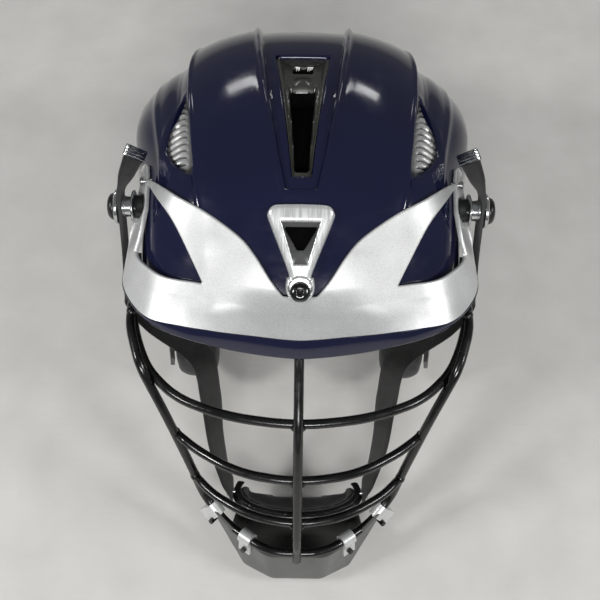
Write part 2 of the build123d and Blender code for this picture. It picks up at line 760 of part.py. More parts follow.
ear_corners = [(y * SHELL_LENGTH, z * CROWN_HEIGHT) for y, z in EAR_GUARD_SHARES]
ear_face = Plane.YZ * make_face(Polyline(*ear_corners, close=True))
ear_face = fillet(ear_face.vertices(), EAR_GUARD_CORNER)
ear_block = extrude(ear_face, amount=HALF_WIDTH, dir=(1, 0, 0))
ear_guard = (ear_cylinder(0) - ear_cylinder(EAR_GUARD_WALL)) & ear_block
ear_guard -= side_drills
ear_hole_y = EAR_HOLE_SHARES[0] * SHELL_LENGTH
ear_hole_z = EAR_HOLE_SHARES[1] * CROWN_HEIGHT
ear_guard -= side_plane(ear_x, ear_hole_y, ear_hole_z) * Cylinder(EAR_HOLE_RADIUS, VENT_REACH)
parts["ear_guard_left"] = ear_guard
parts["ear_guard_right"] = mirror_x(ear_guard)

# Chin guard
def half_outline(shares, z):
    """A closed level outline from its corners on +X."""
    corners = [Vector(x * HALF_WIDTH, y * SHELL_LENGTH, z) for x, y in shares]
    return Polyline(*corners, *reversed(flipped(corners)), close=True)


guard_top = GUARD_TOP_SHARE * CROWN_HEIGHT
guard_floor = GUARD_FLOOR_SHARE * CROWN_HEIGHT
top_face = make_face(half_outline(GUARD_TOP_SHARES, guard_top))
low_face = make_face(half_outline(GUARD_LOW_SHARES, guard_floor))
guard = loft([low_face, top_face], ruled=True)
inner_top = offset(top_face, -GUARD_WALL, kind=Kind.INTERSECTION)
inner_low = offset(low_face, -GUARD_WALL, kind=Kind.INTERSECTION).moved(Location((0, 0, GUARD_WALL)))
guard -= loft([inner_low, inner_top.moved(Location((0, 0, OVERRUN / 100)))], ruled=True)
guard_back = GUARD_BACK_SHARE * SHELL_LENGTH
guard_lip = GUARD_LIP_SHARE * CROWN_HEIGHT
guard -= Pos(0, guard_back + SHELL_LENGTH / 2, guard_lip + CROWN_HEIGHT / 2) * Box(
    HALF_WIDTH * 2, SHELL_LENGTH, CROWN_HEIGHT)
guard_side = at(*RAIL_SHARES[6])
guard_corner = at(*RAIL_SHARES[7])
guard_front = at(*RAIL_SHARES[8])
under = wire_hold + SEAT_GAP
cut_half = [
    Vector(guard_front.X, 0, guard_front.Z - under),
    Vector(guard_corner.X - under / 2, 0, guard_corner.Z - under),
    Vector(guard_side.X - under / 2, 0, guard_side.Z - under),
    Vector(HALF_WIDTH, 0, guard_side.Z - under),
    Vector(HALF_WIDTH, 0, 0),
]
cut_outline = Polyline(*cut_half, *reversed(flipped(cut_half)), close=True)
guard -= prism(cut_outline, Vector(0, -1, 0), SHELL_LENGTH)
guard -= rail
guard -= parts["cage_centre_bar"]
clips = []
rivets = []
for index in (6, 7):
    hold = run_between(RAIL_SHARES, index)
    out = hold.z_dir.cross(Vector(0, 0, 1)).normalized()
    if out.Y > 0:
        out = out * -1
    seat = Plane(origin=hold.origin, x_dir=hold.z_dir, z_dir=out)
    ring = hold * Cylinder(wire_hold + CLIP_WALL, CLIP_LENGTH)
    foot_drop = wire_hold + CLIP_WALL + CLIP_SCREW_HEAD
    foot = seat * Pos(0, 0, 0) * Box(CLIP_LENGTH, foot_drop * 2, CLIP_WALL * 3)
    lower = foot & (Pos(0, hold.origin.Y, hold.origin.Z - foot_drop) * Box(
        HALF_WIDTH * 2, SHELL_LENGTH, foot_drop * 2))
    guard -= ring
    clip = ring + lower
    clip -= hold * Cylinder(wire_hold, CLIP_LENGTH * 2)
    clip -= guard
    drop = Vector(0, 0, -(wire_hold + CLIP_WALL + CLIP_SCREW_HEAD * 0.45))
    pin_plane = Plane(origin=hold.origin + drop, z_dir=out)
    pin = pin_plane * Cylinder(CLIP_SCREW_SHANK / 2, CLIP_WALL * 6)
    guard -= pin
    clip -= pin
    clip = max(clip.solids(), key=lambda solid: solid.volume)
    clips.append(clip)
    clips.append(mirror_x(clip))
    rivets.append(pin)
    rivets.append(mirror_x(pin))
    guard -= mirror_x(pin)
    guard -= mirror_x(ring)
parts["chin_guard"] = guard
parts["chin_guard_clips"] = Compound(clips)
parts["chin_guard_rivets"] = Compound(rivets)

# Liner pads
liner_top = WALL + LINER_GAP
liner_low = liner_top + LINER_DEPTH
front_liner = layer(0.3, 1.9, -0.45, 0.45, liner_top, liner_low) - badge_window(-BEZEL_DEPTH)
front_liner -= drilled(screw_plane, NUT_WIDTH * 1.3 + 2 * LINER_GAP, BADGE_SCREW_LENGTH + LINER_GAP)
parts["front_liner"] = front_liner
comfort_top = liner_low + LINER_GAP
parts["brow_pad"] = layer(0.4, 1.6, -0.40, 0.40, comfort_top, comfort_top + COMFORT_DEPTH)
parts["crown_liner_left"] = layer(2.6, 5.6, 0.09, 0.27, liner_top, liner_low)
parts["crown_liner_right"] = mirror_x(parts["crown_liner_left"])
side_liner = layer(2.2, 6.0, 0.33, 0.80, liner_top, liner_low)
pocket = drilled(side_plane(snap_x, snap_y, snap_z), NUT_WIDTH + 2 * LINER_GAP, VENT_REACH)
pocket += drilled(side_plane(rivet_x, rivet_y, rivet_z), RIVET_HEAD + 2 * LINER_GAP, VENT_REACH)
side_liner -= pocket
parts["side_liner_left"] = side_liner
parts["side_liner_right"] = mirror_x(side_liner)
parts["rear_liner_left"] = layer(6.5, 8.6, 0.32, 0.66, liner_top, liner_low)
parts["rear_liner_right"] = mirror_x(parts["rear_liner_left"])
parts["rear_top_liner"] = layer(6.0, 7.0, -0.26, 0.26, liner_top, liner_low)

# Snaps and studs
stud_x = snap_x + SNAP_STANDOFF
stud_plane = side_plane(stud_x, snap_y, snap_z)
strap_inside = STUD_FLANGE_HEIGHT + SEAT_GAP
socket_inside = strap_inside + STRAP_THICKNESS + SEAT_GAP
cap_inside = socket_inside + SOCKET_HEIGHT + HOLE_CLEARANCE / 2


def disc(plane, diameter, start, height):
    """A disc on a plane's Z, from a start along it."""
    return plane * Pos(0, 0, start + height / 2) * Cylinder(diameter / 2, height)


stud = disc(stud_plane, STUD_FLANGE * 0.7, -SNAP_STANDOFF, SNAP_STANDOFF) - grown - visor
stud = max(stud.solids(), key=lambda solid: solid.center().X)
stud += disc(stud_plane, STUD_FLANGE, 0, STUD_FLANGE_HEIGHT)
stud_inner = SNAP_STANDOFF + WALL * 2 + NUT_HEIGHT
stud += disc(stud_plane, STUD_SHANK, -stud_inner, stud_inner + socket_inside + SOCKET_HEIGHT / 2)
parts["snap_stud_left"] = stud
parts["snap_stud_right"] = mirror_x(stud)
stud_nut = side_plane(snap_x - WALL * 2, snap_y, snap_z) * nut(STUD_SHANK)
parts["snap_stud_nuts"] = Compound([stud_nut, mirror_x(stud_nut)])
socket = disc(stud_plane, SOCKET_OUTER, socket_inside, SOCKET_HEIGHT)
socket -= drilled(stud_plane, STUD_SHANK + HOLE_CLEARANCE, VENT_REACH)
socket = fillet(socket.edges().filter_by(GeomType.CIRCLE).group_by(SortBy.RADIUS)[-1], SOCKET_HEIGHT * 0.3)
parts["snap_socket_left"] = socket
parts["snap_socket_right"] = mirror_x(socket)
cap = disc(stud_plane, CAP_OUTER, cap_inside, CAP_HEIGHT)
cap = fillet(cap.edges().group_by(Axis.X)[-1], CAP_HEIGHT * 0.7)
parts["snap_cap_left"] = cap
parts["snap_cap_right"] = mirror_x(cap)

# Chin strap: one band a side, from its tail past the snap to the cup
strap_x = stud_x + strap_inside + STRAP_THICKNESS / 2
band_points = [
    Vector(strap_x + x * HALF_WIDTH, y * SHELL_LENGTH, z * CROWN_HEIGHT) for x, y, z, _ in BAND_SHARES]
band_sections = []
for i, point in enumerate(band_points):
    ahead = band_points[min(i + 1, len(band_points) - 1)]
    behind = band_points[max(i - 1, 0)]
    turn = math.radians(BAND_SHARES[i][3])
    across = Vector(-math.sin(turn), math.cos(turn), 0)
    plane = Plane(origin=point, x_dir=across, z_dir=ahead - behind)
    band_sections.append(plane * Rectangle(STRAP_WIDTH, STRAP_THICKNESS))
band = loft(band_sections)
band -= drilled(stud_plane, STUD_SHANK + HOLE_CLEARANCE, VENT_REACH)
end_plane = Plane(origin=band_points[0], x_dir=(0, 1, 0), z_dir=band_points[0] - band_points[1])
tail_end = end_plane * Pos(0, 0, TAIL_END_LENGTH / 2) * Box(
    STRAP_WIDTH, STRAP_THICKNESS + 2 * TAIL_END_WALL, TAIL_END_LENGTH)
parts["strap_tail_end_left"] = tail_end
parts["strap_tail_end_right"] = mirror_x(tail_end)

cup_centre = at(*CUP_CENTRE_SHARES)


def cup_bowl(inset):
    """The chin cup's rounded form, drawn in by an inset."""
    ball = scale(Sphere(1), by=(CUP_HALF_X - inset, CUP_HALF_Y - inset, CUP_HALF_Z - inset))
    return Pos(*cup_centre) * ball


cup_keep = Pos(0, cup_centre.Y - CUP_HALF_Y * 0.7, cup_centre.Z - CUP_HALF_Z * 0.65) * Box(
    CUP_HALF_X * 3, CUP_HALF_Y * 2, CUP_HALF_Z * 2)
cup = (cup_bowl(0) - cup_bowl(CUP_WALL)) & cup_keep
cup_pad = (cup_bowl(CUP_WALL + SEAT_GAP) - cup_bowl(CUP_WALL + SEAT_GAP + CUP_PAD_DEPTH)) & cup_keep
rivet_centre = Vector(CUP_HALF_X, cup_centre.Y, cup_centre.Z + CUP_HALF_Z * 0.12)
cup_rivet_plane = side_plane(strap_x + BAND_SHARES[-1][0] * HALF_WIDTH, rivet_centre.Y, rivet_centre.Z)
cup_drill = drilled(cup_rivet_plane, CUP_RIVET_SHANK, CUP_WALL * 2)
cup_rivet = disc(cup_rivet_plane, CUP_RIVET_HEAD, STRAP_THICKNESS / 2 + SEAT_GAP * 2, CUP_WALL / 2)
cup_rivet += disc(cup_rivet_plane, CUP_RIVET_SHANK, -CUP_WALL * 1.6, CUP_WALL * 1.6 + STRAP_THICKNESS)
cup -= cup_drill
cup -= mirror_x(cup_drill)
band -= cup_drill
cup_pad -= cup_drill
cup_pad -= mirror_x(cup_drill)
parts["strap_band_left"] = band
parts["strap_band_right"] = mirror_x(band)
parts["chin_cup"] = cup
parts["chin_cup_pad"] = cup_pad
parts["chin_cup_rivets"] = Compound([cup_rivet, mirror_x(cup_rivet)])

# Rivets of the visor's arms
visor_rivet = bolt(RIVET_HEAD, RIVET_SHANK, RIVET_HEAD_HEIGHT, WALL + VISOR_WALL * 2)
visor_rivet = side_plane(rivet_x + VISOR_WALL * 1.6, rivet_y, rivet_z) * visor_rivet
parts["visor_rivets"] = Compound([visor_rivet, mirror_x(visor_rivet)])

# Ear guard screws and nuts
screws = []
nuts = []
for y, z in ear_screws:
    outside = skin_x(y, z)
    screw = side_plane(outside + SEAT_GAP + EAR_SCREW_HEAD_HEIGHT / 2, y, z) * bolt(
        EAR_SCREW_HEAD, EAR_SCREW_SHANK, EAR_SCREW_HEAD_HEIGHT, EAR_SCREW_LENGTH)
    inside = ear_x - (y - ear_y) ** 2 / (2 * EAR_GUARD_RADIUS) - EAR_GUARD_WALL - SEAT_GAP * 2
    ear_nut = side_plane(inside, y, z) * nut(EAR_SCREW_SHANK)
    screws += [screw, mirror_x(screw)]
    nuts += [ear_nut, mirror_x(ear_nut)]
parts["ear_guard_screws"] = Compound(screws)
parts["ear_guard_nuts"] = Compound(nuts)

# Jaw pads, two lobes each, against the ear guards
lobes = None
for inner, front, back, low, high in JAW_LOBE_SHARES:
    pad_x = inner * HALF_WIDTH
    size = (ear_x - pad_x, (back - front) * SHELL_LENGTH, (high - low) * CROWN_HEIGHT)
    centre = ((ear_x + pad_x) / 2, (front + back) / 2 * SHELL_LENGTH, (low + high) / 2 * CROWN_HEIGHT)
    lobe = Pos(*centre) * Box(*size)
    lobe = fillet(lobe.edges().group_by(Axis.X)[0], JAW_PAD_ROUND)
    lobes = lobe if lobes is None else lobes + lobe
web_y = (JAW_LOBE_SHARES[0][2] + JAW_LOBE_SHARES[1][1]) / 2 * SHELL_LENGTH
web_z = (JAW_LOBE_SHARES[1][3] + JAW_LOBE_SHARES[1][4]) / 2 * CROWN_HEIGHT
lobes += Pos(ear_x - JAW_WEB, web_y, web_z) * Box(2 * JAW_WEB, JAW_WEB * 2, JAW_WEB * 2)
jaw_pad = lobes & ear_cylinder(EAR_GUARD_WALL + SEAT_GAP)
parts["jaw_pad_left"] = jaw_pad
parts["jaw_pad_right"] = mirror_x(jaw_pad)

# Rear fit adjuster
inside_block = filled(-WALL - SEAT_GAP, False)
bracket_front = dial_y - WALL - BRACKET_DEPTH
sleeve_outer = LEAD_SCREW + 2 * SLEEVE_WALL
housing = disc(dial_plane, HOUSING_DIAMETER, -HOUSING_DIAMETER / 4, HOUSING_DIAMETER / 4 + HOUSING_THICKNESS)
housing -= grown
housing = max(housing.solids(), key=lambda solid: solid.volume)
bracket = Pos(0, bracket_front + BRACKET_DEPTH / 2, dial_z) * Box(
    GUIDE_SPREAD + BRACKET_HEIGHT, BRACKET_DEPTH, BRACKET_HEIGHT)
bracket = bracket & inside_block
adjuster_drills = drilled(dial_plane, sleeve_outer + HOLE_CLEARANCE, VENT_REACH)
guides = []
for x in (-GUIDE_SPREAD / 2, GUIDE_SPREAD / 2):
    adjuster_drills += drilled(dial_plane * Pos(x, 0, 0), GUIDE_ROD + HOLE_CLEARANCE, VENT_REACH)
    rod_start = bracket_front - SEAT_GAP - dial_y - CRADLE_WALL / 2
    rod_length = BRACKET_DEPTH + WALL + CRADLE_WALL / 2
    guides.append(disc(dial_plane * Pos(x, 0, 0), GUIDE_ROD, rod_start, rod_length))
housing -= adjuster_drills
bracket -= adjuster_drills
parts["outer_shell"] = parts["outer_shell"] - adjuster_drills
parts["dial_housing"] = housing
parts["adjuster_bracket"] = bracket
dial = disc(dial_plane, DIAL_DIAMETER, HOUSING_THICKNESS + SEAT_GAP, DIAL_THICKNESS)
for i in range(DIAL_LOBES):
    notch = Rot(0, 0, 360 * i / DIAL_LOBES) * Pos(DIAL_DIAMETER / 2 + DIAL_LOBE_DEPTH, 0, 0)
    dial -= dial_plane * notch * Cylinder(2 * DIAL_LOBE_DEPTH, DIAL_DIAMETER)
screw_back = HOUSING_THICKNESS + SEAT_GAP + DIAL_THICKNESS / 2
screw_front = bracket_front - SEAT_GAP - dial_y
lead_screw = disc(dial_plane, LEAD_SCREW, screw_front, screw_back - screw_front)
dial -= lead_screw
parts["fit_dial"] = dial
parts["lead_screw"] = lead_screw
cradle_back = bracket_front - SEAT_GAP
cradle_axis = cradle_back - CRADLE_BEND


def cradle_wall(inset, thickness, width, height):
    """A curved wall round the back of the head, cut to a width and height."""
    outer = Pos(0, cradle_axis, dial_z) * Cylinder(CRADLE_BEND - inset, height)
    outer -= Pos(0, cradle_axis, dial_z) * Cylinder(CRADLE_BEND - inset - thickness, height * 2)
    return outer & (Pos(0, cradle_back, dial_z) * Box(width, CRADLE_BEND, height))


cradle = cradle_wall(0, CRADLE_WALL, CRADLE_WIDTH, CRADLE_HEIGHT)
sleeve = disc(dial_plane, sleeve_outer, screw_front - CRADLE_WALL, BRACKET_DEPTH + WALL + CRADLE_WALL)
cradle += sleeve
cradle -= drilled(dial_plane, LEAD_SCREW + HOLE_CLEARANCE, -screw_front)
for guide in guides:
    cradle -= guide
parts["occipital_cradle"] = cradle
parts["cradle_guides"] = Compound(guides)
cradle_pad = cradle_wall(
    CRADLE_WALL + SEAT_GAP, CRADLE_PAD, CRADLE_WIDTH - CRADLE_WALL, CRADLE_HEIGHT - CRADLE_WALL)
parts["cradle_pad"] = cradle_pad

# The helmet stands as it is put down: on the back edge of its chin guard and on its nape
chin_edge = (GUARD_LOW_SHARES[-1][1] * SHELL_LENGTH, guard_floor)
nape_edge = skin(9, 0)
lean = -math.degrees(math.atan2(nape_edge.Z - chin_edge[1], nape_edge.Y - chin_edge[0]))
leaned = {name: Rot(lean, 0, 0) * shape for name, shape in parts.items()}
box = Compound(list(leaned.values())).bounding_box()
shift = Pos(0, -box.center().Y, -box.min.Z - STAND_FLAT)
print("lean", lean, "shift", shift.position, "size", box.size)
floor_block = Pos(0, 0, -SHELL_LENGTH / 2) * Box(SHELL_LENGTH * 2, SHELL_LENGTH * 2, SHELL_LENGTH)

os.makedirs("parts", exist_ok=True)
for name, shape in leaned.items():
    standing = shift * shape
    if name in ("outer_shell", "chin_guard"):
        standing -= floor_block
    print(name, standing.is_valid, [round(p.volume) for p in standing.solids()])
    export_step(standing, "parts/" + name + ".step")
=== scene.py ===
import math
import bpy
import numpy as np
from mathutils import Matrix, Vector


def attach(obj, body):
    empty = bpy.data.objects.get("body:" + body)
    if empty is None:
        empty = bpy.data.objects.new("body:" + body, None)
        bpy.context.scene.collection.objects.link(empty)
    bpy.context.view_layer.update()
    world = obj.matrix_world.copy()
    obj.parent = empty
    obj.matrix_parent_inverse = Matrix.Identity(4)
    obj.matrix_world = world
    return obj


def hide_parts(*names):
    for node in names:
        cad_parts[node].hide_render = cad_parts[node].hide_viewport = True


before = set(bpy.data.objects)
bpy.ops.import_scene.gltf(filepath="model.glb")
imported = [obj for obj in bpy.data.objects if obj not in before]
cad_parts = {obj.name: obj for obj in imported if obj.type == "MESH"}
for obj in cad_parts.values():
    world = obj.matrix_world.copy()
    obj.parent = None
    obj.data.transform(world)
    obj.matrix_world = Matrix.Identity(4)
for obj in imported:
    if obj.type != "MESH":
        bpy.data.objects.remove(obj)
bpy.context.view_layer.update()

# Worn helmet in millimetres: front is -Y, +X is the wearer's left. It stands leaned back by LEAN.
LEAN = math.radians(-26.723443)
STAND_SHIFT = (0.0, 47.8333, 91.9485)
HALF_WIDTH, LENGTH, HEIGHT = 109.0, 260.0, 127.0
SPANS = np.array([HALF_WIDTH, LENGTH, HEIGHT])
MIRROR = np.array([-1.0, 1, 1])
# The shell's arches from brow to nape: crown Y and Z, rim Y and Z, greatest and rim half width
STATIONS = np.array([
    (-0.523, 0.220, -0.331, 0.236, 0.853, 0.849),
    (-0.469, 0.425, -0.308, 0.063, 0.881, 0.862),
    (-0.388, 0.669, -0.269, -0.079, 0.890, 0.853),
    (-0.231, 0.874, -0.200, -0.157, 0.917, 0.862),
    (-0.038, 0.992, -0.096, -0.189, 0.982, 0.908),
    (0.135, 0.976, 0.019, -0.213, 1.000, 0.927),
    (0.308, 0.811, 0.123, -0.252, 0.954, 0.881),
    (0.431, 0.472, 0.200, -0.299, 0.899, 0.826),
    (0.477, 0.039, 0.254, -0.339, 0.817, 0.752),
    (0.462, -0.339, 0.292, -0.362, 0.725, 0.720),
]) * SPANS[[1, 2, 1, 2, 0, 0]]
ROUNDNESS = np.array([0.95, 0.92, 0.78, 0.74, 0.76, 0.80, 0.80, 0.84, 0.88, 0.95])
PANEL_KEEP = np.array([0.03, 0.03, 0.3, 0.8, 1.0, 1.0, 1.0, 0.9, 0.6, 0.2])
WALL = 3.0
VISOR_LIFT = 3.3
VIEW_TILT = math.radians(35)
# Small numbers: a turn for slopes, a value off zero, and a length off zero
SLOPE_STEP = 0.001
OFF_LINE = 1e-5
TINY = 1e-12
# What a distance to an outline says where the outline's opening doesn't reach
OUT_OF_REACH = 50.0
CROWN_FLOOR = 50.0


def stand(points):
    """Worn millimetres to standing metres: a turn about X by LEAN, then the stand's shift."""
    x, y, z = np.moveaxis(np.asarray(points, float), -1, 0)
    c, s = math.cos(LEAN), math.sin(LEAN)
    turned = np.stack([x, y * c - z * s, y * s + z * c], -1)
    return (turned + np.array(STAND_SHIFT)) / 1000


def between(column, t):
    """Catmull-Rom curve through column values that lie one unit of t apart."""
    last = len(column) - 1
    i = np.clip(t.astype(int), 0, last - 1)
    f = t - i
    a, b = column[i], column[i + 1]
    before = np.where(i > 0, column[i - 1], 2 * a - b)
    after = np.where(i + 2 <= last, column[np.minimum(i + 2, last)], 2 * b - a)
    slope_a, slope_b = (b - before) / 2, (after - a) / 2
    bend = 3 * (b - a) - 2 * slope_a - slope_b
    twist = slope_a + slope_b - 2 * (b - a)
    return a + f * (slope_a + f * (bend + f * twist))


def skin(t, across, raised=0.0):
    """The shell's outside: each station t is a superellipse arch in its own tilted plane.

    across is 0 at the top of the arch and 1 or -1 at its rims. raised is an offset along the
    arch's normal in that plane.
    """
    t, across, raised = np.broadcast_arrays(np.asarray(t, float), across, raised)
    cy, cz, ry, rz, width, rim = [between(STATIONS[:, k], t) for k in range(6)]
    power = between(ROUNDNESS, t)
    start = -np.arccos(np.minimum(rim / width, 1) ** (1 / power))
    height = np.hypot(cy - ry, cz - rz)
    low = -(np.abs(np.sin(start)) ** power)

    def flat(angle):
        side = np.sign(np.sin(angle)) * np.abs(np.sin(angle)) ** power
        return width * np.maximum(np.cos(angle), 0) ** power, height * (side - low) / (1 - low)

    angle = math.pi / 2 - np.abs(across) * (math.pi / 2 - start)
    x, v = flat(angle)
    x0, v0 = flat(angle - SLOPE_STEP)
    x1, v1 = flat(angle + SLOPE_STEP)
    run = np.hypot(x1 - x0, v1 - v0)
    x = x + raised * (v1 - v0) / run
    v = v - raised * (x1 - x0) / run
    share = v / height
    side = np.where(across < 0, -1.0, 1.0)
    return np.stack([side * x, ry + (cy - ry) * share, rz + (cz - rz) * share], -1)


def step(value, low, high):
    """0 below low, 1 above high, an S-curve between."""
    f = np.clip((value - low) / (high - low), 0, 1)
    return f * f * (3 - 2 * f)


def spell(value, rise, fall):
    """1 between a rise and a fall, 0 outside them, each an S-curve."""
    return step(value, *rise) * (1 - step(value, *fall))


def hump(value, centre, width):
    """A bell of height 1 about a centre."""
    return np.exp(-(((value - centre) / width) ** 2))


def ridge(value, height, centre, width):
    """A bell of a height about a centre."""
    return height * hump(value, centre, width)


def outline_distance(points, polygon):
    """Signed distance from 2-D points to a closed polygon, negative inside."""
    polygon = np.asarray(polygon, float)
    nearest = np.full(len(points), np.inf)
    crossings = np.zeros(len(points), int)
    for a, b in zip(polygon, np.roll(polygon, -1, 0)):
        ab = b - a
        ap = points - a
        share = np.clip((ap @ ab) / max(ab @ ab, TINY), 0, 1)
        nearest = np.minimum(nearest, np.hypot(*(ap - share[:, None] * ab).T))
        spans = (a[1] > points[:, 1]) != (b[1] > points[:, 1])
        rise = ab[1] if abs(ab[1]) > TINY else TINY
        crossings += spans & (points[:, 0] < a[0] + ab[0] * (points[:, 1] - a[1]) / rise)
    return np.where(crossings % 2 == 1, -nearest, nearest)


def unit(vectors):
    """Vectors over their own length."""
    return vectors / np.linalg.norm(vectors, axis=-1, keepdims=True)


def turns(count):
    """Equal turns round a circle."""
    return np.linspace(0, 2 * math.pi, count, endpoint=False)


def catmull(before, a, b, after, steps):
    """Catmull-Rom curves from a to b: the slope at each is half the run between its neighbours."""
    f = (np.arange(steps) / steps)[None, :, None]
    curve = 0.5 * (2 * a + (b - before) * f + (2 * before - 5 * a + 4 * b - after) * f ** 2
                   + (3 * a - before - 3 * b + after) * f ** 3)
    return curve.reshape(-1, a.shape[-1])


def smooth_loop(points, steps=8):
    """A closed Catmull-Rom curve through 2-D or 3-D points."""
    p = np.asarray(points, float)
    return catmull(*[np.roll(p, shift, 0)[:, None] for shift in (1, 0, -1, -2)], steps)


def smooth_run(points, steps=10):
    """An open Catmull-Rom curve through points, its ends held."""
    p = np.asarray(points, float)
    p = np.vstack([2 * p[0] - p[1], p, 2 * p[-1] - p[-2]])
    return np.vstack([catmull(p[:-3, None], p[1:-2, None], p[2:-1, None], p[3:, None], steps), p[-2]])


def rounded_corner(a, corner, b, share, steps):
    """A corner rounded by a parabola that starts and ends a share of the shorter run away from it."""
    s = np.linspace(0, 1, steps)[:, None]
    run = share * min(np.linalg.norm(corner - a), np.linalg.norm(b - corner))
    start = corner + (a - corner) / np.linalg.norm(a - corner) * run
    end = corner + (b - corner) / np.linalg.norm(b - corner) * run
    return (1 - s) ** 2 * start + 2 * s * (1 - s) * corner + s ** 2 * end


def rounded_run(points, share=0.48, steps=8):
    """A bent wire's line: straight runs with a parabola at each corner."""
    p = np.asarray(points, float)
    bends = [rounded_corner(a, corner, b, share, steps) for a, corner, b in zip(p, p[1:], p[2:])]
    line = np.vstack([p[:1], *bends, p[-1:]])
    shortest = 0.05
    keep = np.r_[True, np.linalg.norm(np.diff(line, axis=0), axis=1) > shortest]
    return line[keep]


# Triangle sheets over two parameters, which outlines can be cut out of


def sheet_grid(us, vs):
    """Every pair of two parameter lists, and the triangles of the grid that they make."""
    u, v = np.meshgrid(us, vs, indexing="ij")
    index = np.arange(u.size).reshape(u.shape)
    a, b, c, d = index[:-1, :-1], index[1:, :-1], index[1:, 1:], index[:-1, 1:]
    tris = np.concatenate([np.stack([a, b, c], -1).reshape(-1, 3), np.stack([a, c, d], -1).reshape(-1, 3)])
    return np.stack([u.ravel(), v.ravel()], -1), tris


def split(params, tris, field):
    """Cuts each triangle that the field's zero line crosses into three along that line."""
    value = field(params)
    value = np.where(np.abs(value) < OFF_LINE, OFF_LINE, value)
    positive = value > 0
    count = positive[tris].sum(1)
    plain = (count == 0) | (count == 3)
    crossed = tris[~plain]
    if len(crossed) == 0:
        return params, tris
    odd = positive[crossed] == (positive[crossed].sum(1) == 1)[:, None]
    first = odd.argmax(1)
    rows = np.arange(len(crossed))
    o, b, c = [crossed[rows, (first + k) % 3] for k in range(3)]
    pairs = np.sort(np.concatenate([np.stack([o, b], -1), np.stack([o, c], -1)]), axis=1)
    unique, place = np.unique(pairs, axis=0, return_inverse=True)
    place = place.reshape(-1)
    va, vb = value[unique[:, 0]], value[unique[:, 1]]
    share = (va / (va - vb))[:, None]
    fresh = params[unique[:, 0]] * (1 - share) + params[unique[:, 1]] * share
    on_ob = len(params) + place[: len(crossed)]
    on_oc = len(params) + place[len(crossed):]
    new = np.concatenate([
        np.stack([o, on_ob, on_oc], -1), np.stack([on_ob, b, c], -1), np.stack([on_ob, c, on_oc], -1)])
    return np.vstack([params, fresh]), np.concatenate([tris[plain], new])


def ruled(params, tris, field, rings):
    """Lays a line of edges along each of a field's levels."""
    for ring in rings:
        params, tris = split(params, tris, lambda p, r=ring: field(p) - r)
    return params, tris


def keep_outside(params, tris, field, rings=()):
    """Cuts the field's negative side away, after laying extra lines at the ring distances."""
    params, tris = split(*ruled(params, tris, field, rings), field)
    centre = params[tris].mean(1)
    tris = tris[field(centre) > 0]
    used, place = np.unique(tris, return_inverse=True)
    return params[used], place.reshape(tris.shape)


def rim_edges(tris):
    """The edges that only one triangle uses, in that triangle's direction."""
    edges = np.concatenate([tris[:, [0, 1]], tris[:, [1, 2]], tris[:, [2, 0]]])
    key = np.sort(edges, axis=1)
    _, place, count = np.unique(key, axis=0, return_inverse=True, return_counts=True)
    return edges[count[place.reshape(-1)] == 1]


def walled(outer, inner, tris):
    """One closed wall: the outer sheet, the inner sheet turned over, and a strip round each rim."""
    n = len(outer)
    edge = rim_edges(tris)
    strip = np.concatenate([
        np.stack([edge[:, 1], edge[:, 0], edge[:, 0] + n], -1),
        np.stack([edge[:, 1], edge[:, 0] + n, edge[:, 1] + n], -1)])
    return np.vstack([outer, inner]), np.concatenate([tris, tris[:, ::-1] + n, strip])


def edge_round(distance, radius):
    """How far a surface drops within a radius of an edge, as a quarter circle."""
    near = 1 - np.clip(distance / radius, 0, 1)
    return radius * (1 - np.sqrt(np.maximum(1 - near ** 2, 0)))


def linked(name, data):
    """A new object for some data, in the scene."""
    obj = bpy.data.objects.new(name, data)
    bpy.context.scene.collection.objects.link(obj)
    return obj


def smoothed(mesh):
    """A mesh with every face shaded smooth."""
    mesh.polygons.foreach_set("use_smooth", np.ones(len(mesh.polygons), bool))


def as_lists(faces):
    """Faces as plain lists, from an array or from lists of threes and fours."""
    return faces.tolist() if isinstance(faces, np.ndarray) else faces


def piece(name, shape, material, body="helmet", replaces=(), sharp=None, uv=None, also=None):
    """A mesh piece from worn-frame points and faces, riding on a body and standing for CAD nodes.

    also is a second material and, for each face, whether it takes that one.
    """
    points, faces = shape
    mesh = bpy.data.meshes.new(name)
    mesh.from_pydata(stand(points).tolist(), [], as_lists(faces))
    mesh.validate()
    mesh.update()
    smoothed(mesh)
    if sharp is not None:
        mesh.set_sharp_from_angle(angle=math.radians(sharp))
    mesh.materials.append(material)
    if also is not None:
        other, marks = also
        mesh.materials.append(other)
        mesh.polygons.foreach_set("material_index", np.asarray(marks, np.int32))
    if uv is not None:
        layer = mesh.uv_layers.new(name="UVMap")
        corner = np.zeros(len(mesh.loops), np.int32)
        mesh.loops.foreach_get("vertex_index", corner)
        layer.data.foreach_set("uv", np.asarray(uv, np.float32)[corner].ravel())
    obj = linked(name, mesh)
    if replaces:
        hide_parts(*replaces)
    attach(obj, body)
    return obj


def joined(parts):
    """Several sets of points and faces as one."""
    points, faces, base = [], [], 0
    for some, polygons in parts:
        points.append(np.asarray(some, float))
        faces += [[index + base for index in face] for face in as_lists(polygons)]
        base += len(some)
    return np.vstack(points), faces


def mirrored(shape):
    """The other side's copy of points and faces."""
    points, faces = shape
    return np.asarray(points, float) * MIRROR, [list(face)[::-1] for face in as_lists(faces)]


def ring_faces(rows, count):
    """Quads between rings of points, each ring closed."""
    a = np.arange(rows - 1)[:, None] * count + np.arange(count)[None, :]
    b = np.roll(a, -1, 1)
    return np.stack([a, b, b + count, a + count], -1).reshape(-1, 4)


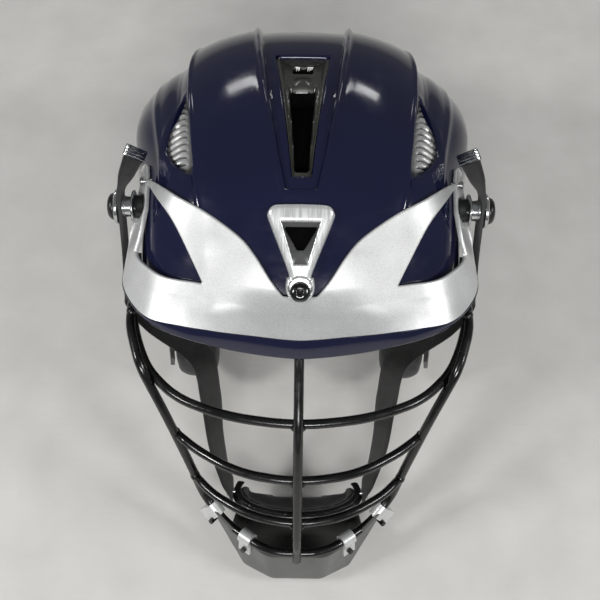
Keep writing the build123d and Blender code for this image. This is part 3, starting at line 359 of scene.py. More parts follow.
def capped(rings):
    """Points and faces of rings of points, closed by a fan at each end."""
    rows, count = rings.shape[:2]
    points = np.vstack([rings.reshape(-1, 3), rings[0].mean(0), rings[-1].mean(0)])
    k = np.arange(count)
    after = np.roll(k, -1)
    n = rows * count
    start = np.stack([np.full(count, n), after, k], -1)
    end = np.stack([np.full(count, n + 1), n - count + k, n - count + after], -1)
    return points, ring_faces(rows, count).tolist() + start.tolist() + end.tolist()


def carried(line, profile, outward):
    """A closed profile carried along a line; its X looks outward and its Y along the cross product."""
    tangent = unit(np.gradient(line, axis=0))
    out = unit(outward - (outward * tangent).sum(1, keepdims=True) * tangent)
    side = np.cross(tangent, out)
    return line[:, None] + profile[:, :1] * out[:, None] + profile[:, 1:] * side[:, None]


def round_rod(line, radius):
    """A round rod along a line, closed flat at both ends."""
    turn = turns(20)
    profile = np.stack([radius * np.cos(turn), radius * np.sin(turn)], -1)
    above = np.array([0.0, 0.0, 20.0])
    return capped(carried(line, profile, line + above))


def turned(profile, centre, axis, count=48, lobes=None):
    """A profile of radius and height turned about an axis through a centre.

    lobes, where given, is what the radius is multiplied by at each turn.
    """
    axis = np.asarray(axis, float)
    first = unit(np.cross((0, 0, 1.0), axis))
    second = np.cross(axis, first)
    turn = turns(count)
    profile = np.asarray(profile, float)
    radius = profile[:, :1] * (np.ones(count) if lobes is None else lobes(turn))
    return capped(np.asarray(centre, float) + profile[:, 1:, None] * axis + radius[..., None] * (
        np.cos(turn)[None, :, None] * first + np.sin(turn)[None, :, None] * second))


# Materials


def new_material(name, colour, roughness, metallic=0.0, coat=0.0, sheen=0.0, coat_roughness=0.05):
    """A plain surface and its node tree, to be given its detail."""
    material = bpy.data.materials.new(name)
    material.use_nodes = True
    surface = material.node_tree.nodes["Principled BSDF"]
    for socket, value in (
            ("Base Color", (*colour, 1)), ("Roughness", roughness), ("Metallic", metallic),
            ("Coat Weight", coat), ("Coat Roughness", coat_roughness), ("Sheen Weight", sheen)):
        surface.inputs[socket].default_value = value
    return material, surface


def noise(material, scale, detail=3.0, stretch=(1, 1, 1)):
    """A noise over the object's own coordinates, stretched along its axes."""
    nodes, links = material.node_tree.nodes, material.node_tree.links
    place = nodes.new("ShaderNodeTexCoord")
    turn = nodes.new("ShaderNodeMapping")
    turn.inputs["Scale"].default_value = stretch
    texture = nodes.new("ShaderNodeTexNoise")
    texture.inputs["Scale"].default_value = scale
    texture.inputs["Detail"].default_value = detail
    links.new(place.outputs["Object"], turn.inputs["Vector"])
    links.new(turn.outputs["Vector"], texture.inputs["Vector"])
    return texture.outputs["Fac"]


def ramp(material, value, stops):
    """A value turned into a colour or a grey through stops of place and colour."""
    node = material.node_tree.nodes.new("ShaderNodeValToRGB")
    elements = node.color_ramp.elements
    while len(elements) < len(stops):
        elements.new(0.5)
    for element, (place, colour) in zip(elements, stops):
        element.position = place
        element.color = (*colour, 1) if isinstance(colour, tuple) else (colour, colour, colour, 1)
    material.node_tree.links.new(value, node.inputs["Fac"])
    return node.outputs["Color"]


def bump(material, surface, value, strength, distance):
    """Small relief from a value, in metres."""
    node = material.node_tree.nodes.new("ShaderNodeBump")
    node.inputs["Strength"].default_value = strength
    node.inputs["Distance"].default_value = distance
    material.node_tree.links.new(value, node.inputs["Height"])
    material.node_tree.links.new(node.outputs["Normal"], surface.inputs["Normal"])


def tinted(material, surface, value, dark, light, low=0.3, high=0.7):
    """Base colour between two tints by a value."""
    colour = ramp(material, value, [(low, dark), (high, light)])
    material.node_tree.links.new(colour, surface.inputs["Base Color"])


def roughened(material, surface, value, low, high, start=0.35, end=0.65):
    """Roughness between two levels by a value."""
    level = ramp(material, value, [(start, low), (end, high)])
    material.node_tree.links.new(level, surface.inputs["Roughness"])


def navy_gloss():
    """Deep navy moulded plastic, glossy, with faint handling marks."""
    material, surface = new_material("navy gloss plastic", (0.006, 0.0075, 0.032), 0.1, coat=0.2)
    tinted(material, surface, noise(material, 9), (0.005, 0.006, 0.026), (0.008, 0.0095, 0.04))
    roughened(material, surface, noise(material, 60, 6, (1, 1, 3)), 0.07, 0.17)
    bump(material, surface, noise(material, 240, 2), 0.05, 0.0002)
    return material


def silver_paint():
    """Silver lacquer with fine flake under a thin clear coat."""
    material, surface = new_material("silver lacquer", (0.7, 0.705, 0.7), 0.42, metallic=0.5, coat=0.25,
                                     coat_roughness=0.2)
    flake = noise(material, 2600, 1)
    tinted(material, surface, flake, (0.60, 0.605, 0.60), (0.80, 0.805, 0.795), 0.35, 0.65)
    roughened(material, surface, noise(material, 45, 4), 0.36, 0.5)
    bump(material, surface, noise(material, 1800, 2), 0.06, 0.0001)
    return material


def black_coating():
    """Thick black plastic coat on wire, slightly uneven, with scuffs."""
    material, surface = new_material("black wire coating", (0.004, 0.004, 0.004), 0.2, coat=0.2,
                                     coat_roughness=0.1)
    tinted(material, surface, noise(material, 55, 4), (0.003, 0.003, 0.003), (0.008, 0.0078, 0.0075),
           0.4, 0.75)
    roughened(material, surface, noise(material, 120, 5), 0.15, 0.34)
    bump(material, surface, noise(material, 160, 3), 0.1, 0.0004)
    return material


def ribbed_foam():
    """Silver-grey glossy foam with painted shade in its grooves: pale on its ribs and darker with the groove
    depth on the pad's own map.
    """
    material, surface = new_material("silver foam", (0.4, 0.4, 0.395), 0.32, metallic=0.35, coat=0.3,
                                     coat_roughness=0.2)
    nodes, links = material.node_tree.nodes, material.node_tree.links
    place = nodes.new("ShaderNodeTexCoord")
    parts = nodes.new("ShaderNodeSeparateXYZ")
    links.new(place.outputs["UV"], parts.inputs["Vector"])
    # Painted shade: the colour darkens with the groove depth that the map's X carries.
    painted_groove_shade = ramp(material, parts.outputs["X"], [(0.0, (0.5, 0.5, 0.49)), (0.35, (0.3, 0.3, 0.295)),
                                               (0.75, (0.03, 0.03, 0.03))])
    links.new(painted_groove_shade, surface.inputs["Base Color"])
    roughened(material, surface, noise(material, 90, 4), 0.22, 0.5)
    bump(material, surface, noise(material, 420, 3), 0.35, 0.0004)
    return material


def plain_plastic(name, dark, light, roughness, grain=900.0, relief=0.15, coat=0.0):
    """Moulded plastic with a fine spark-eroded grain."""
    material, surface = new_material(name, dark, roughness, coat=coat)
    tinted(material, surface, noise(material, 30, 4), dark, light)
    roughened(material, surface, noise(material, 70, 4), max(roughness - 0.08, 0.05), roughness + 0.08)
    bump(material, surface, noise(material, grain, 3), relief, 0.0002)
    return material


def metal(name, dark, light, roughness, stretch=(1, 1, 1)):
    """Bright metal with fine brushing and a little tarnish."""
    material, surface = new_material(name, light, roughness, metallic=1.0)
    tinted(material, surface, noise(material, 80, 4), dark, light)
    roughened(material, surface, noise(material, 500, 3, stretch), roughness * 0.7, roughness * 1.4)
    bump(material, surface, noise(material, 900, 2, stretch), 0.04, 0.0001)
    return material


def satin_badge():
    """Bright satin metal, drawn lengthwise, with soft tone changes."""
    material, surface = new_material("badge metal", (0.86, 0.865, 0.86), 0.3, metallic=0.65)
    tinted(material, surface, noise(material, 35, 2), (0.80, 0.805, 0.80), (0.90, 0.905, 0.90))
    roughened(material, surface, noise(material, 700, 2, (1, 0.08, 0.08)), 0.24, 0.36)
    bump(material, surface, noise(material, 900, 2, (1, 0.05, 0.05)), 0.03, 0.0001)
    return material


def crossed_waves(material, coordinate, threads, distortion, mix):
    """The height of two crossed sets of threads, each given as its direction and spacing in metres.

    A wave texture repeats once in a unit where its scale is a twentieth of a full turn.
    """
    nodes, links = material.node_tree.nodes, material.node_tree.links
    place = nodes.new("ShaderNodeTexCoord")
    weave = nodes.new("ShaderNodeMath")
    weave.operation = mix
    for (direction, spacing), height in zip(threads, weave.inputs):
        wave = nodes.new("ShaderNodeTexWave")
        wave.bands_direction = direction
        wave.inputs["Scale"].default_value = 0.314 / spacing
        wave.inputs["Distortion"].default_value = distortion
        links.new(place.outputs[coordinate], wave.inputs["Vector"])
        links.new(wave.outputs["Fac"], height)
    return weave.outputs["Value"]


def cloth(name, dark, light, thread=0.0007):
    """Woven cloth: two crossed waves of threads in relief, with fuzz."""
    material, surface = new_material(name, dark, 0.85, sheen=0.3)
    tinted(material, surface, noise(material, 140, 5), dark, light)
    weave = crossed_waves(material, "Object", (("X", thread), ("Z", thread)), 0.6, "MULTIPLY")
    bump(material, surface, weave, 0.5, thread * 0.6)
    return material


def webbing(name, dark, light):
    """Flat webbing on its own map: ribs across the width, close rows along the length."""
    material, surface = new_material(name, dark, 0.62, sheen=0.2)
    tinted(material, surface, noise(material, 200, 4), dark, light)
    weave = crossed_waves(material, "UV", (("X", 0.0011), ("Y", 0.0016)), 0.3, "MAXIMUM")
    bump(material, surface, weave, 0.45, 0.0003)
    return material


navy = navy_gloss()
silver = silver_paint()
wire_black = black_coating()
chrome = metal("satin chrome", (0.55, 0.56, 0.56), (0.75, 0.76, 0.76), 0.18)
steel = metal("plated steel", (0.38, 0.38, 0.38), (0.6, 0.6, 0.6), 0.28)
dark_plastic = plain_plastic("black plastic", (0.006, 0.006, 0.0065), (0.012, 0.012, 0.0125), 0.32)
smoke_plastic = plain_plastic("smoke plastic", (0.022, 0.022, 0.018), (0.05, 0.05, 0.04), 0.28, coat=0.4)
bezel_plastic = plain_plastic("grey bezel", (0.08, 0.08, 0.082), (0.13, 0.13, 0.132), 0.3, coat=0.2)
guard_plastic = plain_plastic("grey guard", (0.088, 0.090, 0.085), (0.132, 0.134, 0.127), 0.36, 500,
                              0.1, 0.15)
foam = ribbed_foam()
badge_metal = satin_badge()
black_nickel = metal("black nickel", (0.05, 0.05, 0.052), (0.10, 0.10, 0.10), 0.16)
# Painted shade: a near-black with almost no reflection, put on the deep faces of the crown tray and the
# badge's funnel where only shade falls.
painted_shade_black = plain_plastic("painted shade black", (0.001, 0.001, 0.001), (0.002, 0.002, 0.002), 0.8)
painted_shade_black.node_tree.nodes["Principled BSDF"].inputs["Specular IOR Level"].default_value = 0.05
cup_rubber = plain_plastic("black cup rubber", (0.006, 0.006, 0.006), (0.012, 0.012, 0.012), 0.3, coat=0.3)
pad_cloth = cloth("black pad cloth", (0.012, 0.012, 0.012), (0.028, 0.028, 0.028))
strap_web = webbing("black webbing", (0.010, 0.010, 0.010), (0.022, 0.021, 0.02))

# Outlines in worn millimetres: from above, and in the plane square to the line of sight
CHANNEL_EDGE = np.array([(8.7, -103.2), (13.5, -85.0), (19.5, -52.6), (24.5, -8.0), (27.5, 37.0), (29, 120)])
SLOT_FRONT, SLOT_BACK = (5.5, -96.7), (16.5, -11.7)
SIDE_VENT = np.array([
    (-0.670, -0.120, 0.840), (-0.745, -0.200, 0.730), (-0.720, -0.265, 0.670),
    (-0.575, -0.335, 0.670), (-0.600, -0.235, 0.770), (-0.640, -0.150, 0.820)]) * SPANS
SIDE_VENT_FACING = unit(np.array([-0.55, -0.33, 0.77]))
SIDE_VENT_REACH = 30.0
FRONT_VENT_REACH = 88.0


def both(half):
    """A closed outline from its right half, listed from front to back."""
    half = np.asarray(half, float)
    return np.vstack([half, (half * MIRROR[:2])[::-1]])


def seen(points):
    """Where points fall in the plane square to the line of sight: X and rise."""
    rise = points[:, 1] * math.sin(VIEW_TILT) + points[:, 2] * math.cos(VIEW_TILT)
    return np.stack([points[:, 0], rise], -1)


def ahead(points):
    """How far points lie towards the viewer along the line of sight."""
    return -points[:, 1] * math.cos(VIEW_TILT) + points[:, 2] * math.sin(VIEW_TILT)


def vent_flat(points):
    """Where points fall in the side vent's plane, from one of its corners."""
    away = points - SIDE_VENT[1]
    return np.stack([away @ vent_side, away @ vent_up], -1)


channel_loop = both(CHANNEL_EDGE)
slot_loop = both([SLOT_FRONT, SLOT_BACK])
window_loop = both([(11.8, -8.4), (4.0, -34.4)])
vent_side = unit(np.cross(SIDE_VENT_FACING, (0, 0, 1.0)))
vent_up = np.cross(vent_side, SIDE_VENT_FACING)
vent_loop = smooth_loop(vent_flat(SIDE_VENT))


def crown_distance(points, loop):
    """Distance to an outline on the crown, seen from above."""
    return np.where(points[:, 2] > CROWN_FLOOR, outline_distance(points[:, :2], loop), OUT_OF_REACH)


def slot_distance(points):
    """Distance to the crown slot, seen from above."""
    return crown_distance(points, slot_loop)


def vent_distance(points):
    """Distance to the nearer side vent, seen along its facing."""
    folded = np.column_stack([-np.abs(points[:, 0]), points[:, 1:]])
    near = np.abs((folded - SIDE_VENT[1]) @ SIDE_VENT_FACING) < SIDE_VENT_REACH
    return np.where(near, outline_distance(vent_flat(folded), vent_loop), OUT_OF_REACH)


def window_distance(points):
    """Distance to the front vent behind the badge's window."""
    near = ahead(points) > FRONT_VENT_REACH
    return np.where(near, outline_distance(seen(points), window_loop), OUT_OF_REACH)


# Crown relief, each as its height in millimetres, then its middle and width: first as shares of
# the arch from its top to its rim, and the channel's bead in millimetres from its outline
PANEL_HEIGHT = 2.6
PANEL_STEP = (0.300, 0.311)
PANEL_BEAD = (1.2, 0.293, 0.0075)
SCOOP = (3.2, 0.365, 0.045)
LOBE = (5.2, 0.57, 0.085)
LOBE_CREASE = (1.0, 0.468, 0.011)
CHANNEL_DEPTH = 2.4
CHANNEL_STEP = (-0.8, 0.6)
CHANNEL_BEAD = (2.3, 2.3, 1.5)
BEAD_START = 0.35
# Between which stations the relief rises, or runs out towards the nape
LOBE_RISE, SCOOP_RISE, SIDE_END = (2.6, 4.0), (1.8, 3.2), (6.0, 8.0)
CHANNEL_RISE, CHANNEL_END = (1.6, 4.2), (7.2, 8.5)


def panel_height(t, across, points):
    """How far the raised panels stand over the plain arch: steps, a channel, beads and a side lobe."""
    side = np.abs(across)
    keep = between(PANEL_KEEP, t)
    channel = crown_distance(points, channel_loop)
    fade = 1 - step(t, *CHANNEL_END)
    scoop = spell(t, SCOOP_RISE, SIDE_END)
    height = keep * (PANEL_HEIGHT * (1 - step(side, *PANEL_STEP)) + ridge(side, *PANEL_BEAD))
    height -= CHANNEL_DEPTH * (1 - step(channel, *CHANNEL_STEP)) * fade
    growth = BEAD_START + (1 - BEAD_START) * step(t, *CHANNEL_RISE)
    height += ridge(channel, *CHANNEL_BEAD) * fade * growth
    height -= scoop * ridge(side, *SCOOP)
    height += spell(t, LOBE_RISE, SIDE_END) * ridge(side, *LOBE)
    height += scoop * ridge(side, *LOBE_CREASE)
    return height


RIM_LINES = np.array([0.0, 0.0016, 0.004, 0.008, 0.014])
LAST_STATION = 9.0
# Millimetres in a whole share across and in one station, and the rims' rounding
SIDE_RUN, STATION_RUN, EDGE_RADIUS = 190, 45, 1.3
# The raised lip round each side vent: its height, its place from the vent's edge and its width
VENT_LIP, VENT_LIP_REACH = (0.5, 3.2, 1.4), 12


def shell_params():
    """The shell's grid, closer where the surface steps and at the rims, with its vents cut out."""
    half = np.concatenate([
        np.linspace(0, 0.27, 26), np.linspace(0.276, 0.325, 20), np.linspace(0.333, 0.64, 34),
        np.linspace(0.66, 0.975, 20), 1 - RIM_LINES[::-1]])
    across = np.concatenate([-half[:0:-1], half])
    ends = RIM_LINES * 4
    stations = np.concatenate([ends, np.linspace(0.08, 8.92, 132), LAST_STATION - ends[::-1]])
    params, tris = sheet_grid(stations, across)

    def on(field):
        return lambda p: field(skin(p[:, 0], p[:, 1]))

    channel = on(lambda q: crown_distance(q, channel_loop))
    params, tris = ruled(params, tris, channel, (-0.8, -0.3, 0.1, 0.6, 1.4, 2.3, 3.2, 4.6))
    for field in (slot_distance, vent_distance, window_distance):
        params, tris = keep_outside(params, tris, on(field), (0.15, 0.5, 1.2, 2.4))
    return params, tris


def build_shell():
    """Outer shell: the arch with its panels, one wall thick, every edge rounded."""
    params, tris = shell_params()
    t, across = params.T
    flat = skin(t, across)
    vent = vent_distance(flat)
    holes = np.minimum(np.minimum(slot_distance(flat), vent), window_distance(flat))
    rims = np.minimum((1 - np.abs(across)) * SIDE_RUN, np.minimum(t, LAST_STATION - t) * STATION_RUN)
    drop = edge_round(np.minimum(holes, rims), EDGE_RADIUS)
    lip = ridge(holes, *VENT_LIP) * (vent < VENT_LIP_REACH)
    outer = skin(t, across, panel_height(t, across, flat) - drop + lip)
    inner = skin(t, across, -WALL + drop)
    piece("shell", walled(outer, inner, tris), navy, replaces=["outer_shell"], sharp=50)


# Crown tray, in millimetres: its gap to the slot, its wall, and how deep its rails, the ledge inside
# them, its back end and its openings lie
TRAY_GAP, TRAY_WALL = 0.25, 1.2
RAIL_DEPTH, LEDGE_DEPTH, BACK_DEPTH, OPENING_DEPTH = 1.3, 1.6, 3.0, 11.0
# Faces deeper than this depth are painted near-black as shade
SHADE_DEPTH = 7.0
TRAY_DOME, DOME_WIDTH = (2.4, 0.77, 0.05), 0.42
RAIL_GROOVE = (0.5, 0.80, 0.05)


def build_tray():
    """Crown tray: rails down both edges of the slot, a domed bridge, and openings between whose deep faces
    are painted black as shade.

    along runs from 0 to 1 down the slot, and u from 0 in its middle to 1 at its edge.
    """
    params, tris = sheet_grid(np.linspace(1.75, 4.3, 240), np.linspace(-0.2, 0.2, 150))

    def inside_slot(p):
        return -TRAY_GAP - slot_distance(skin(p[:, 0], p[:, 1]))

    params, tris = keep_outside(params, tris, inside_slot, (0.5, 1.2))
    t, across = params.T
    flat = skin(t, across)
    along = (flat[:, 1] - SLOT_FRONT[1]) / (SLOT_BACK[1] - SLOT_FRONT[1])
    u = np.abs(flat[:, 0]) / (SLOT_FRONT[0] + (SLOT_BACK[0] - SLOT_FRONT[0]) * along)
    back = step(along, 0.62, 0.8) * (1 - step(u, 0.35, 0.95))
    height = -RAIL_DEPTH - LEDGE_DEPTH * (1 - step(u, 0.72, 0.95)) - BACK_DEPTH * back
    height += ridge(along, *TRAY_DOME) * hump(u, 0, DOME_WIDTH)
    height -= ridge(u, *RAIL_GROOVE) * (1 - step(along, 0.6, 0.7))
    opening = (1 - step(u, 0.50, 0.66)) * spell(along, (0.03, 0.07), (0.66, 0.72))
    window = spell(u, (0.05, 0.10), (0.30, 0.40)) * spell(along, (0.885, 0.905), (0.96, 0.98))
    height -= OPENING_DEPTH * np.maximum(opening, window)
    points, faces = walled(skin(t, across, height), skin(t, across, height - TRAY_WALL), tris)
    # The deepest faces take the near-black: painted shade down in the openings.
    dark = np.append(height, height)[faces].mean(1) < -SHADE_DEPTH
    piece("crown_tray", (points, faces), smoke_plastic, replaces=["top_channel"],
          sharp=45, also=(painted_shade_black, dark))


# Visor: one sheet round the front, from the brim's edge up onto the shell. A row of the brim is a
# turn from the front in degrees, then the radius and height of its inside, its edge and its lip.
BRIM = np.array([
    (0, 0.960, 0.262, 1.183, 0.157, 1.202, 0.063),
    (12, 0.955, 0.275, 1.174, 0.157, 1.193, 0.065),
    (24, 0.960, 0.280, 1.165, 0.130, 1.188, 0.060),
    (32, 1.035, 0.285, 1.192, 0.120, 1.210, 0.066),
    (40, 1.100, 0.283, 1.232, 0.115, 1.226, 0.075),
    (47, 1.115, 0.290, 1.225, 0.130, 1.215, 0.100),
    (53, 1.110, 0.305, 1.200, 0.180, 1.190, 0.155),
    (58, 1.055, 0.345, 1.115, 0.270, 1.105, 0.245),
    (62, 0.961, 0.430, 1.035, 0.390, 1.025, 0.365),
    (66, 0.909, 0.520, 0.964, 0.480, 0.955, 0.455),
    (70, 0.859, 0.600, 0.903, 0.560, 0.895, 0.535),
]) * np.array([1, *SPANS[[0, 2, 0, 2, 0, 2]]])
BRIM_Y = -29.9


def brim_row(turn):
    """The brim's inner, outer and lip radius and height at a turn from the front, in degrees."""
    turn = np.abs(turn)
    place = np.interp(turn, BRIM[:, 0], np.arange(len(BRIM)))
    return [between(BRIM[:, k], place) for k in range(1, 7)]


def around(turn, radius, z):
    """A point at a turn, a radius and a height about the brim's upright axis."""
    angle = np.radians(turn)
    return np.stack([radius * np.sin(angle), BRIM_Y - radius * np.cos(angle), z], -1)


def skin_radius(turn, z, raised):
    """The shell's radius at a turn and height, by Newton steps on the skin's two parameters.

    The steps start at the nearest place of a coarse sample, and each is held short.
    """
    batch, newton_steps, flattest = 4000, 4, 1e-6
    t_reach, a_reach = 0.1, 0.03
    t_grid, a_grid = np.meshgrid(np.linspace(0.0, 5, 60), np.linspace(0.0, 1, 60), indexing="ij")
    sample = skin(t_grid.ravel(), a_grid.ravel(), raised)
    sample_turn = np.degrees(np.arctan2(sample[:, 0], BRIM_Y - sample[:, 1]))
    want = np.abs(turn)
    best = np.zeros(len(turn), int)
    for k in range(0, len(turn), batch):
        turn_away = sample_turn[None] - want[k:k + batch, None]
        away = turn_away ** 2 + (sample[None, :, 2] - z[k:k + batch, None]) ** 2
        best[k:k + batch] = away.argmin(1)
    t, a = t_grid.ravel()[best], a_grid.ravel()[best]

    def measure(t, a):
        q = skin(t, a, raised)
        x, forward = q[:, 0], BRIM_Y - q[:, 1]
        return np.degrees(np.arctan2(x, forward)), q[:, 2], np.hypot(x, forward)

    e = SLOPE_STEP
    for _ in range(newton_steps):
        g, h, _r = measure(t, a)
        gt, ht, _r = measure(t + e, a)
        ga, ha, _r = measure(t, a + e)
        j = np.array([[(gt - g) / e, (ga - g) / e], [(ht - h) / e, (ha - h) / e]])
        det = j[0, 0] * j[1, 1] - j[0, 1] * j[1, 0]
        det = np.where(np.abs(det) < flattest, flattest, det)
        dt = (j[1, 1] * (want - g) - j[0, 1] * (z - h)) / det
        da = (-j[1, 0] * (want - g) + j[0, 0] * (z - h)) / det
        t = np.clip(t + np.clip(dt, -t_reach, t_reach), 0, 6)
        a = np.clip(a + np.clip(da, -a_reach, a_reach), 0, 1)
    return measure(t, a)[2]


WING_TOP = np.array([
    (-0.868, -0.259, 0.551), (-0.790, -0.308, 0.583), (-0.647, -0.377, 0.588), (-0.496, -0.419, 0.562),
    (-0.321, -0.458, 0.487), (-0.236, -0.479, 0.416), (-0.152, -0.505, 0.317), (-0.085, -0.523, 0.258)
]) * SPANS
WING_LOW = np.array([
    (-0.458, -0.510, 0.200), (-0.561, -0.460, 0.354), (-0.668, -0.407, 0.494), (-0.784, -0.334, 0.548)
]) * SPANS
ARM_EDGE = np.array([
    (-0.405, 0.160), (-0.380, 0.345), (-0.335, 0.470), (-0.245, 0.590), (-0.222, 0.565), (-0.262, 0.460),
    (-0.300, 0.320), (-0.330, 0.200)]) * SPANS[1:]
WING_FOOT = 25.0


def wing_loop():
    """The wings' outline in the seen plane, as one closed curve over both sides."""
    top = smooth_run(seen(WING_TOP))
    low = smooth_run(seen(np.vstack([WING_LOW, WING_TOP[:1]])))
    foot = low[0] - np.array([0, WING_FOOT])
    return both(np.vstack([foot, low, top]))


wings = wing_loop()
arm_loop = smooth_loop(ARM_EDGE, 6)

VISOR_WALL, VISOR_EDGE = 3.0, 0.9
# Where the visor's top lies, by the turn from the front in degrees
TOP_TURNS, TOP_HEIGHTS = [0, 5, 15, 30, 60, 80], [37, 45, 66, 78, 86, 92]
SKIN_FOOT = 29.0
BRIM_BLEND = 7.0
# Turns in degrees: where the arms start, the brim and its lip end, and the sheet ends
ARM_TURN, BRIM_TURN, LIP_TURN, SHEET_TURN = 40, 66, 56, 80


def visor_sheet(params):
    """The visor's outside at a turn and a height share: the larger of brim and raised skin, blended."""
    turn, share = params.T
    inner, inner_z, outer, outer_z, _lip, _lip_z = brim_row(turn)
    z = outer_z + (np.interp(np.abs(turn), TOP_TURNS, TOP_HEIGHTS) - outer_z) * share
    slope = (inner - outer) / (inner_z - outer_z)
    brim = outer + slope * (z - outer_z)
    rind = skin_radius(turn, np.maximum(z, SKIN_FOOT), VISOR_LIFT)
    near = np.maximum(BRIM_BLEND - np.abs(rind - brim), 0) / BRIM_BLEND
    radius = np.maximum(rind, brim) + near ** 2 * BRIM_BLEND / 4
    return around(turn, radius, z), z - inner_z


def visor_normal(params, sheet):
    """Outward normals of the visor's sheet, from its slopes along both parameters."""
    turn_step, share_step = 0.05, 0.002
    turn, share = params.T

    def at(turn, share):
        return visor_sheet(np.stack([turn, share], -1))[0]

    du = at(turn + turn_step, share) - at(turn - turn_step, share)
    dv = at(turn, np.minimum(share + share_step, 1)) - at(turn, np.maximum(share - share_step, 0))
    normal = unit(np.cross(du, dv))
    return normal * np.sign((normal * sheet).sum(1))[:, None]


def build_visor():
    """Visor: the sheet cut to brim, wings and arms, one wall thick."""
    half = np.linspace(0, SHEET_TURN, 150)
    turn = np.concatenate([-half[:0:-1], half])
    heights = np.concatenate([np.array([0, 0.004, 0.01, 0.02]), np.linspace(0.035, 1, 90)])

    def field(p):
        q, above = visor_sheet(p)
        in_wing = outline_distance(seen(q), wings)
        in_arm = np.where(np.abs(p[:, 0]) > ARM_TURN, outline_distance(q[:, 1:], arm_loop), OUT_OF_REACH)
        in_brim = np.where(np.abs(p[:, 0]) < BRIM_TURN, above, OUT_OF_REACH)
        return -np.minimum(np.minimum(in_wing, in_arm), in_brim)

    params, tris = keep_outside(*sheet_grid(turn, heights), field, (0.2, 0.6, 1.3))
    sheet, _above = visor_sheet(params)
    normal = visor_normal(params, sheet)
    drop = edge_round(field(params), VISOR_EDGE)
    outer = sheet - normal * drop[:, None]
    inner = sheet - normal * (VISOR_WALL - drop * 0.8)[:, None]
    piece("visor", walled(outer, inner, tris), silver, replaces=["visor"], sharp=55)


def build_lip():
    """The navy lip under the brim: its rounded section's rows, carried round the front."""
    turn = np.linspace(-LIP_TURN, LIP_TURN, 161)
    _inner, _inner_z, out, out_z, lip, lip_z = brim_row(turn)
    fade = 1 - step(np.abs(turn), 50, LIP_TURN) * 0.85
    low = out + (lip - out) * fade
    low_z = out_z + (lip_z - out_z) * fade
    rows = [around(turn, out + away, out_z + rise) for away, rise in (
        (-3.0, -1.6), (-0.5, -0.25), (0.35, -0.5), (0.5, -1.2))]
    rows += [around(turn, low + away, low_z + rise) for away, rise in (
        (0.3, 1.0), (-0.2, 0.2), (-1.2, 0.0), (-2.4, 0.6), (-3.2, 2.0))]
    piece("visor_lip", capped(np.stack(rows, 1)), navy, sharp=60)


# Cage: each wire's corners as shares of the helmet's spans, a half listed from the middle outwards
WIRE = 2.8
RAIL = np.array([
    (0.950, -0.215, 0.047), (0.930, -0.385, 0.047), (0.922, -0.465, 0.000), (0.853, -0.542, -0.110),
    (0.731, -0.558, -0.378), (0.615, -0.550, -0.740), (0.560, -0.538, -0.961), (0.422, -0.577, -1.087),
    (0.165, -0.658, -1.110)])
TOP_WIRE = np.array([
    (0.000, -0.573, 0.100), (0.413, -0.535, 0.086), (0.734, -0.458, 0.078), (0.930, -0.385, 0.047)])
CENTRE_BAR = np.array([
    (0, -0.573, 0.100), (0, -0.615, -0.020), (0, -0.686, -0.236), (0, -0.700, -0.567), (0, -0.696, -0.858),
    (0, -0.679, -1.115)])
UPPER_BAR = np.array([
    (0.000, -0.665, -0.240), (0.385, -0.640, -0.232), (0.661, -0.588, -0.217), (0.826, -0.512, -0.181),
    (0.890, -0.465, -0.100), (0.922, -0.430, 0.030)])
MIDDLE_BAR = np.array([
    (0.000, -0.679, -0.567), (0.330, -0.654, -0.559), (0.569, -0.588, -0.543), (0.690, -0.552, -0.504)])
LOWER_BAR = np.array([
    (0.000, -0.676, -0.861), (0.275, -0.654, -0.850), (0.495, -0.592, -0.835), (0.600, -0.548, -0.803)])
# Half sizes of the weld beads, and how far the one on the centre bar is set forward
CENTRE_BEAD, RAIL_BEAD = (4.6, 2.6, 2.6), (3.2, 3.4, 3.6)
BEAD_FORWARD = np.array([0, -1.5, 0])


def whole(half):
    """A symmetric line from its right half, which is listed from the middle outwards."""
    half = half * SPANS
    return np.vstack([half[::-1], half[half[:, 0] > 0] * MIRROR])


def bead(centre, size):
    """A weld bead: a squashed ball with a slightly uneven radius."""
    theta = np.linspace(0.02, math.pi - 0.02, 12)[:, None]
    phi = turns(20)
    wobble = 1 + 0.06 * np.sin(3 * phi) * np.sin(theta)
    ball = np.stack([np.sin(theta) * np.cos(phi) * wobble, np.sin(theta) * np.sin(phi) * wobble,
                     np.cos(theta) * np.ones(len(phi))], -1)
    return capped(np.asarray(centre) + ball * np.asarray(size))


def build_cage():
    """Cage wires with round sections, and the weld beads where they meet."""
    for name, line, node in (
            ("cage_rail_wire", rounded_run(whole(RAIL[::-1]), 0.36, 12), "cage_rail"),
            ("cage_top", rounded_run(whole(TOP_WIRE)), "cage_top_wire"),
            ("cage_centre", rounded_run(CENTRE_BAR * SPANS, 0.45), "cage_centre_bar")):
        piece(name, round_rod(line, WIRE), wire_black, replaces=[node])
    for name, half, node in (
            ("cage_upper", UPPER_BAR, "cage_bar_upper"), ("cage_middle", MIDDLE_BAR, "cage_bar_middle"),
            ("cage_lower", LOWER_BAR, "cage_bar_lower")):
        parts = [round_rod(rounded_run(whole(half)), WIRE)]
        parts.append(bead(half[0] * SPANS + BEAD_FORWARD, CENTRE_BEAD))
        parts += [bead(half[-1] * SPANS * side, RAIL_BEAD) for side in (1, MIRROR)]
        piece(name, joined(parts), wire_black, replaces=[node])


